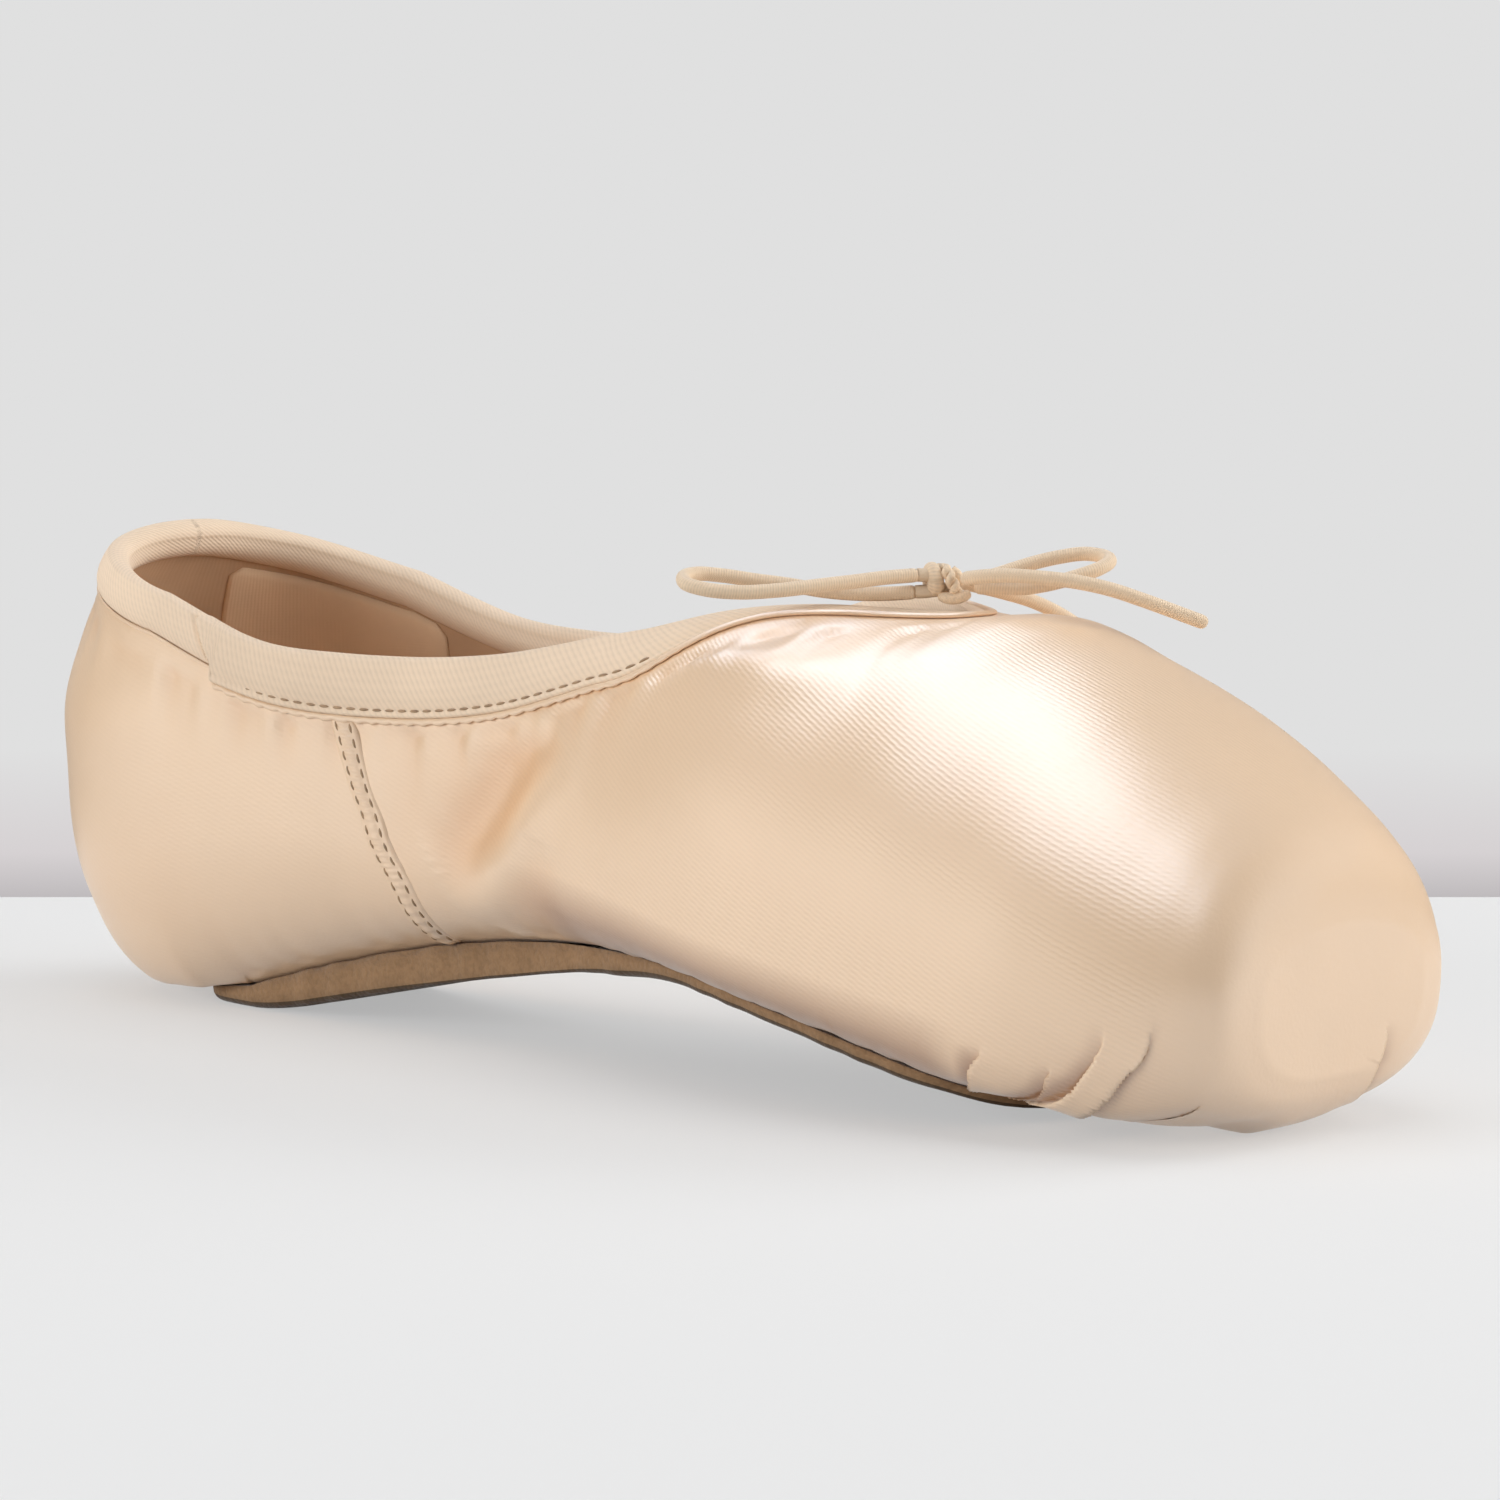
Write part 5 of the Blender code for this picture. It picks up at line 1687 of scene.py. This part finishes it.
def stitch_points(starts, ends, normals, thickness):
    """Points and faces of many stitches, each a small spindle lying between two points."""
    rings = ((0.0, 0.25), (0.18, 0.8), (0.5, 1.0), (0.82, 0.8), (1.0, 0.25))
    sides = 6
    verts, faces = [], []
    for start, end, normal in zip(starts, ends, normals):
        offset = len(verts)
        side = np.cross(end - start, normal)
        side = side / np.linalg.norm(side)
        for share, size in rings:
            centre = start + (end - start) * share + normal * (size - 1.0) * thickness * 0.4
            for j in range(sides):
                turn = 2 * math.pi * j / sides
                verts.append(centre + thickness * size * (side * math.cos(turn) + normal * math.sin(turn)))
        faces += grid_faces(len(rings), sides, offset, closed_columns=True)
        faces.append(tuple(offset + j for j in range(sides))[::-1])
        faces.append(tuple(offset + (len(rings) - 1) * sides + j for j in range(sides)))
    return verts, faces


def row_of_stitches(points, normals, pitch, length, lift, thickness):
    """Stitches at an even pitch along a line of points."""
    run = np.concatenate([[0.0], np.cumsum(np.linalg.norm(np.diff(points, axis=0), axis=1))])
    first = np.arange(pitch / 2, run[-1] - length, pitch)
    raised = points + normals * lift

    def at(places, values):
        return np.stack([np.interp(places, run, values[:, axis]) for axis in range(3)], -1)

    return stitch_points(at(first, raised), at(first + length, raised), unit(at(first + length / 2, normals)), thickness)


def build_stitches(name, lines, pitch, length, thickness):
    """One piece from stitch rows on both sides of the shoe."""
    verts, faces = [], []
    for points, normals, lift in lines:
        for side in (1.0, -1.0):
            flip = np.array([1.0, side, 1.0])
            made, joined = row_of_stitches(points * flip, normals * flip, pitch, length, lift, thickness)
            faces += [tuple(len(verts) + index for index in face) for face in joined]
            verts += made
    flat = np.array(verts)[:, :2]
    return new_piece(name, np.array(verts), faces, flat, ("Sewing thread",))


def build_collar_stitches():
    settings = bpy.context.scene.shoe_collar
    along = collar_stations(COLLAR_COUNT)
    point, normal, _, _ = walk_down(along, STITCH_DEPTH * outside_share(along))
    sewn = (along > JOINT_FOOT + 0.6) & (along < STITCHES_END)
    return build_stitches(
        "collar_stitches", [(point[sewn], normal[sewn], 0.84)],
        settings.stitch_pitch / MM, settings.stitch_length / MM, 0.23,
    )


def build_seam_stitches():
    share = np.linspace(0.0, 1.0, 120)
    along = column(SEAM, "along", share)
    angle = column(SEAM, "angle", share)
    lines = []
    for shift in (-1.35, 1.35):
        point = last_point(along + shift, angle)
        lines.append((point, outward(along + shift, angle), 0.30))
    return build_stitches("seam_stitches", lines, 2.4, 1.5, 0.22)


def view_axes():
    """The camera's backward, right and up directions."""
    settings = bpy.context.scene.shoe_stage
    azimuth, elevation = settings.azimuth, settings.elevation
    back = Vector((
        math.sin(azimuth) * math.cos(elevation), -math.cos(azimuth) * math.cos(elevation), math.sin(elevation)
    ))
    right = Vector((math.cos(azimuth), math.sin(azimuth), 0.0))
    return back, right, back.cross(right)


# The camera was fitted to the photograph: a target on the shoe, its pixel there, and pixels for a millimetre
TARGET = Vector(((122.0 - MIDDLE_X) * MM, 0.0, 0.0316))
TARGET_PIXEL = (688.0, 841.0)
PIXELS_PER_MM = 6.6
IMAGE_SIZE = 1500.0
SENSOR = 36.0


def build_camera():
    settings = bpy.context.scene.shoe_stage
    back, right, up = view_axes()
    middle = IMAGE_SIZE / 2
    aim = TARGET + right * (middle - TARGET_PIXEL[0]) / PIXELS_PER_MM * MM
    aim = aim + up * (TARGET_PIXEL[1] - middle) / PIXELS_PER_MM * MM
    data = bpy.data.cameras.new("Camera")
    data.sensor_width = SENSOR
    data.lens = SENSOR * PIXELS_PER_MM * settings.distance / MM / IMAGE_SIZE
    data.clip_start = 0.01
    data.clip_end = 20.0
    camera = bpy.data.objects.new("Camera", data)
    bpy.context.scene.collection.objects.link(camera)
    turn = Matrix((right, up, back)).transposed().to_4x4()
    camera.matrix_world = Matrix.Translation(aim + back * settings.distance) @ turn
    bpy.context.scene.camera = camera
    return camera


def soft_lamp(name, place, aim, size, watts, colour=(1.0, 1.0, 1.0), across=None):
    """A large square lamp at a place, facing a point on the shoe; its width lies along across if that is given."""
    data = bpy.data.lights.new(name, "AREA")
    data.shape = "RECTANGLE"
    data.size, data.size_y = size
    data.energy = watts * bpy.context.scene.shoe_stage.light
    data.color = colour
    lamp = bpy.data.objects.new(name, data)
    bpy.context.scene.collection.objects.link(lamp)
    away = (Vector(place) - Vector(aim)).normalized()
    turned = away.to_track_quat("Z", "Y").to_matrix()
    if across is not None:
        side = (across - away * across.dot(away)).normalized()
        turned = Matrix((side, away.cross(side), away)).transposed()
    lamp.matrix_world = Matrix.Translation(Vector(place)) @ turned.to_4x4()
    return lamp


def floor_material():
    """A pale floor that glows only to the camera and in reflections: painted light that keeps the shoe's shadow on it
    light and shows on the satin as a painted reflection of a bright floor, while lighting nothing.
    """
    made, tree, shader = material("studio_floor")
    rays = add_node(tree, "ShaderNodeLightPath")
    seen = rays.outputs["Is Camera Ray"]
    mirrored = add_node(
        tree, "ShaderNodeMath", {0: seen, 1: rays.outputs["Is Glossy Ray"]}, operation="MAXIMUM"
    ).outputs[0]
    tree.links.new(shades(tree, seen, (0.50,) * 3, (0.43, 0.43, 0.43), 0.0, 1.0), shader.inputs["Base Color"])
    # The glow is painted light: it fills the shoe's shadow on the floor and the satin's reflections of the floor.
    tree.links.new(shades(tree, mirrored, (0.0,) * 3, (0.425, 0.425, 0.425), 0.0, 1.0), shader.inputs["Emission Color"])
    shader.inputs["Emission Strength"].default_value = 1.0
    shader.inputs["Roughness"].default_value = 0.9
    shader.inputs["Specular IOR Level"].default_value = 0.1
    return made


def wall_material():
    """A grey wall with a light of its own, with painted shade where it meets the floor; from behind it can't be seen.
    """
    made, tree, shader = material("studio_wall")
    place = add_node(tree, "ShaderNodeTexCoord")
    parts = add_node(tree, "ShaderNodeSeparateXYZ", {"Vector": place.outputs["Object"]})
    # Painted shade: the wall's glow is darker close to the floor.
    low = add_node(tree, "ShaderNodeMapRange", {"Value": parts.outputs["Z"], "From Min": 0.0, "From Max": 0.027})
    colour = shades(tree, low.outputs["Result"], (0.52, 0.495, 0.505), (0.745, 0.745, 0.745), 0.0, 1.0)
    halfway = colour.node.color_ramp.elements.new(0.3)
    halfway.color = (0.672, 0.640, 0.650, 1.0)
    tree.links.new(colour, shader.inputs["Emission Color"])
    shader.inputs["Emission Strength"].default_value = 1.0
    shader.inputs["Base Color"].default_value = (0.0, 0.0, 0.0, 1.0)
    shader.inputs["Specular IOR Level"].default_value = 0.0
    facing = add_node(tree, "ShaderNodeNewGeometry")
    clear = add_node(tree, "ShaderNodeBsdfTransparent")
    mix = add_node(
        tree, "ShaderNodeMixShader", {0: facing.outputs["Backfacing"], 1: shader.outputs[0], 2: clear.outputs[0]}
    )
    tree.links.new(mix.outputs[0], tree.nodes["Material Output"].inputs["Surface"])
    return made


class ShoeOperator:
    bl_options = {"REGISTER", "UNDO"}


class SHOE_OT_camera(ShoeOperator, bpy.types.Operator):
    """Place the camera where the photograph was taken from"""

    bl_idname = "shoe.camera"
    bl_label = "Place Camera"

    def execute(self, context):
        build_camera()
        return {"FINISHED"}


class SHOE_OT_bow(ShoeOperator, bpy.types.Operator):
    """Tie the drawstring's bow: knot, two loops and two ends"""

    bl_idname = "shoe.bow"
    bl_label = "Tie Bow"

    def execute(self, context):
        knot = build_knot()
        build_cord("drawstring_loop_near", BOW_LOOP_NEAR, "bow_loop_near")
        build_cord("drawstring_loop_far", BOW_LOOP_FAR, "bow_loop_far")
        build_cord("drawstring_end_front", BOW_TAIL_FRONT, "bow_tail_front")
        build_cord("drawstring_end_far", BOW_TAIL_FAR, "bow_tail_far")
        return {"FINISHED"}


class SHOE_OT_upper(ShoeOperator, bpy.types.Operator):
    """Last the satin upper, with its pleats, folds and lining"""

    bl_idname = "shoe.upper"
    bl_label = "Last Upper"

    def execute(self, context):
        build_upper()
        return {"FINISHED"}


class SHOE_OT_collar(ShoeOperator, bpy.types.Operator):
    """Bind the collar in twill, with the satin's fold and the stitches under it"""

    bl_idname = "shoe.collar"
    bl_label = "Bind Collar"

    def execute(self, context):
        build_binding()
        build_piping()
        build_collar_stitches()
        return {"FINISHED"}


class SHOE_OT_seams(ShoeOperator, bpy.types.Operator):
    """Sew the quarters' side seams with two rows of stitches"""

    bl_idname = "shoe.seams"
    bl_label = "Sew Side Seams"

    def execute(self, context):
        build_side_seam(1)
        build_side_seam(-1)
        build_seam_stitches()
        return {"FINISHED"}


class SHOE_OT_soles(ShoeOperator, bpy.types.Operator):
    """Lay the suede outsole, the canvas insole and the bare patch in the heel"""

    bl_idname = "shoe.soles"
    bl_label = "Lay Soles"

    def execute(self, context):
        build_outsole()
        build_insole()
        build_patch()
        return {"FINISHED"}


class SHOE_OT_stage(ShoeOperator, bpy.types.Operator):
    """Set up the pale floor, the wall behind it and the soft studio light"""

    bl_idname = "shoe.stage"
    bl_label = "Set Stage"

    def execute(self, context):
        back, right, up = view_axes()
        flat_back = Vector((back.x, back.y, 0.0)).normalized()
        foot = Vector((TARGET.x, TARGET.y, 0.0)) - flat_back * 0.171
        half = 4.0
        rise = Vector((0.0, 0.0, 1.0))
        corners = [
            foot + flat_back * 5.0 - right * half,
            foot + flat_back * 5.0 + right * half,
            foot + right * half,
            foot - right * half,
            foot + right * half + rise * 3.0,
            foot - right * half + rise * 3.0,
        ]
        for name, picked in (("studio_floor", (0, 1, 2, 3)), ("studio_wall", (3, 2, 4, 5))):
            data = bpy.data.meshes.new(name)
            data.from_pydata([corners[i] for i in picked], [], [(0, 1, 2, 3)])
            data.materials.append(floor_material() if name == "studio_floor" else wall_material())
            stage = bpy.data.objects.new(name, data)
            bpy.context.scene.collection.objects.link(stage)
        stage.visible_shadow = False
        stage.visible_diffuse = False
        stage.visible_glossy = False
        middle = Vector((0.0, 0.0, 0.04))
        vamp = middle + Vector((0.07, -0.03, 0.02))
        above = vamp - right * 0.36 - flat_back * 0.30
        box = soft_lamp(
            "Overhead", above + Vector((0.0, 0.0, 1.1)), above, (1.1, 2.55), 21.5, (0.93, 1.03, 1.2), across=right
        )
        front = middle + Vector((-0.85, -1.5, 0.02))
        strip = soft_lamp("Front strip", front, middle, (2.2, 0.6), 2.6, (1.0, 0.9, 0.75), across=right)
        for lamp in (box, strip):
            lamp.visible_diffuse = False
        fills = (
            soft_lamp("Top", middle + Vector((0.0, 0.0, 1.1)), middle, (1.0, 1.0), 3.5),
            soft_lamp("Left", middle + Vector((-0.75, -1.4, 0.16)), middle, (1.3, 1.1), 25.0),
            soft_lamp("Right", middle + Vector((1.45, 0.6, 0.25)), middle, (1.3, 1.1), 16.5),
            soft_lamp("Behind", middle + Vector((0.7, 1.3, 0.8)), middle, (1.0, 1.0), 12.0),
        )
        for lamp in fills:
            lamp.visible_glossy = False
        world = bpy.data.worlds.new("Studio")
        world.use_nodes = True
        world.node_tree.nodes["Background"].inputs["Color"].default_value = (1.0, 1.0, 1.0, 1.0)
        world.node_tree.nodes["Background"].inputs["Strength"].default_value = 0.25
        context.scene.world = world
        context.scene.view_settings.view_transform = "Standard"
        return {"FINISHED"}


class SHOE_PT_panel(bpy.types.Panel):
    """Sizes, colours and pieces of the pointe shoe"""

    bl_idname = "SHOE_PT_panel"
    bl_label = "Pointe Shoe"
    bl_space_type = "VIEW_3D"
    bl_region_type = "UI"
    bl_category = "Pointe Shoe"

    def draw(self, context):
        layout = self.layout
        for title, settings in SETTINGS.items():
            box = layout.box()
            box.label(text=title)
            group = getattr(context.scene, settings[0])
            for name in group.__annotations__:
                box.prop(group, name)
        for operator in OPERATORS:
            layout.operator(operator.bl_idname)


SETTINGS = {
    "Satin": ("shoe_satin", SatinSettings),
    "Collar": ("shoe_collar", CollarSettings),
    "Soles": ("shoe_sole", SoleSettings),
    "Bow": ("shoe_bow", BowSettings),
    "Stage": ("shoe_stage", StageSettings),
}
OPERATORS = (
    SHOE_OT_camera,
    SHOE_OT_bow,
    SHOE_OT_upper,
    SHOE_OT_collar,
    SHOE_OT_seams,
    SHOE_OT_soles,
    SHOE_OT_stage,
)


def register():
    for name, group in SETTINGS.values():
        bpy.utils.register_class(group)
        setattr(bpy.types.Scene, name, bpy.props.PointerProperty(type=group))
    for operator in OPERATORS:
        bpy.utils.register_class(operator)
    bpy.utils.register_class(SHOE_PT_panel)


def unregister():
    bpy.utils.unregister_class(SHOE_PT_panel)
    for operator in reversed(OPERATORS):
        bpy.utils.unregister_class(operator)
    for name, group in SETTINGS.values():
        delattr(bpy.types.Scene, name)
        bpy.utils.unregister_class(group)


def main():
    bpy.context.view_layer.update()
    register()
    bpy.ops.shoe.camera()
    bpy.ops.shoe.bow()
    bpy.ops.shoe.upper()
    bpy.ops.shoe.collar()
    bpy.ops.shoe.seams()
    bpy.ops.shoe.soles()
    bpy.ops.shoe.stage()


if __name__ == "__main__":
    main()
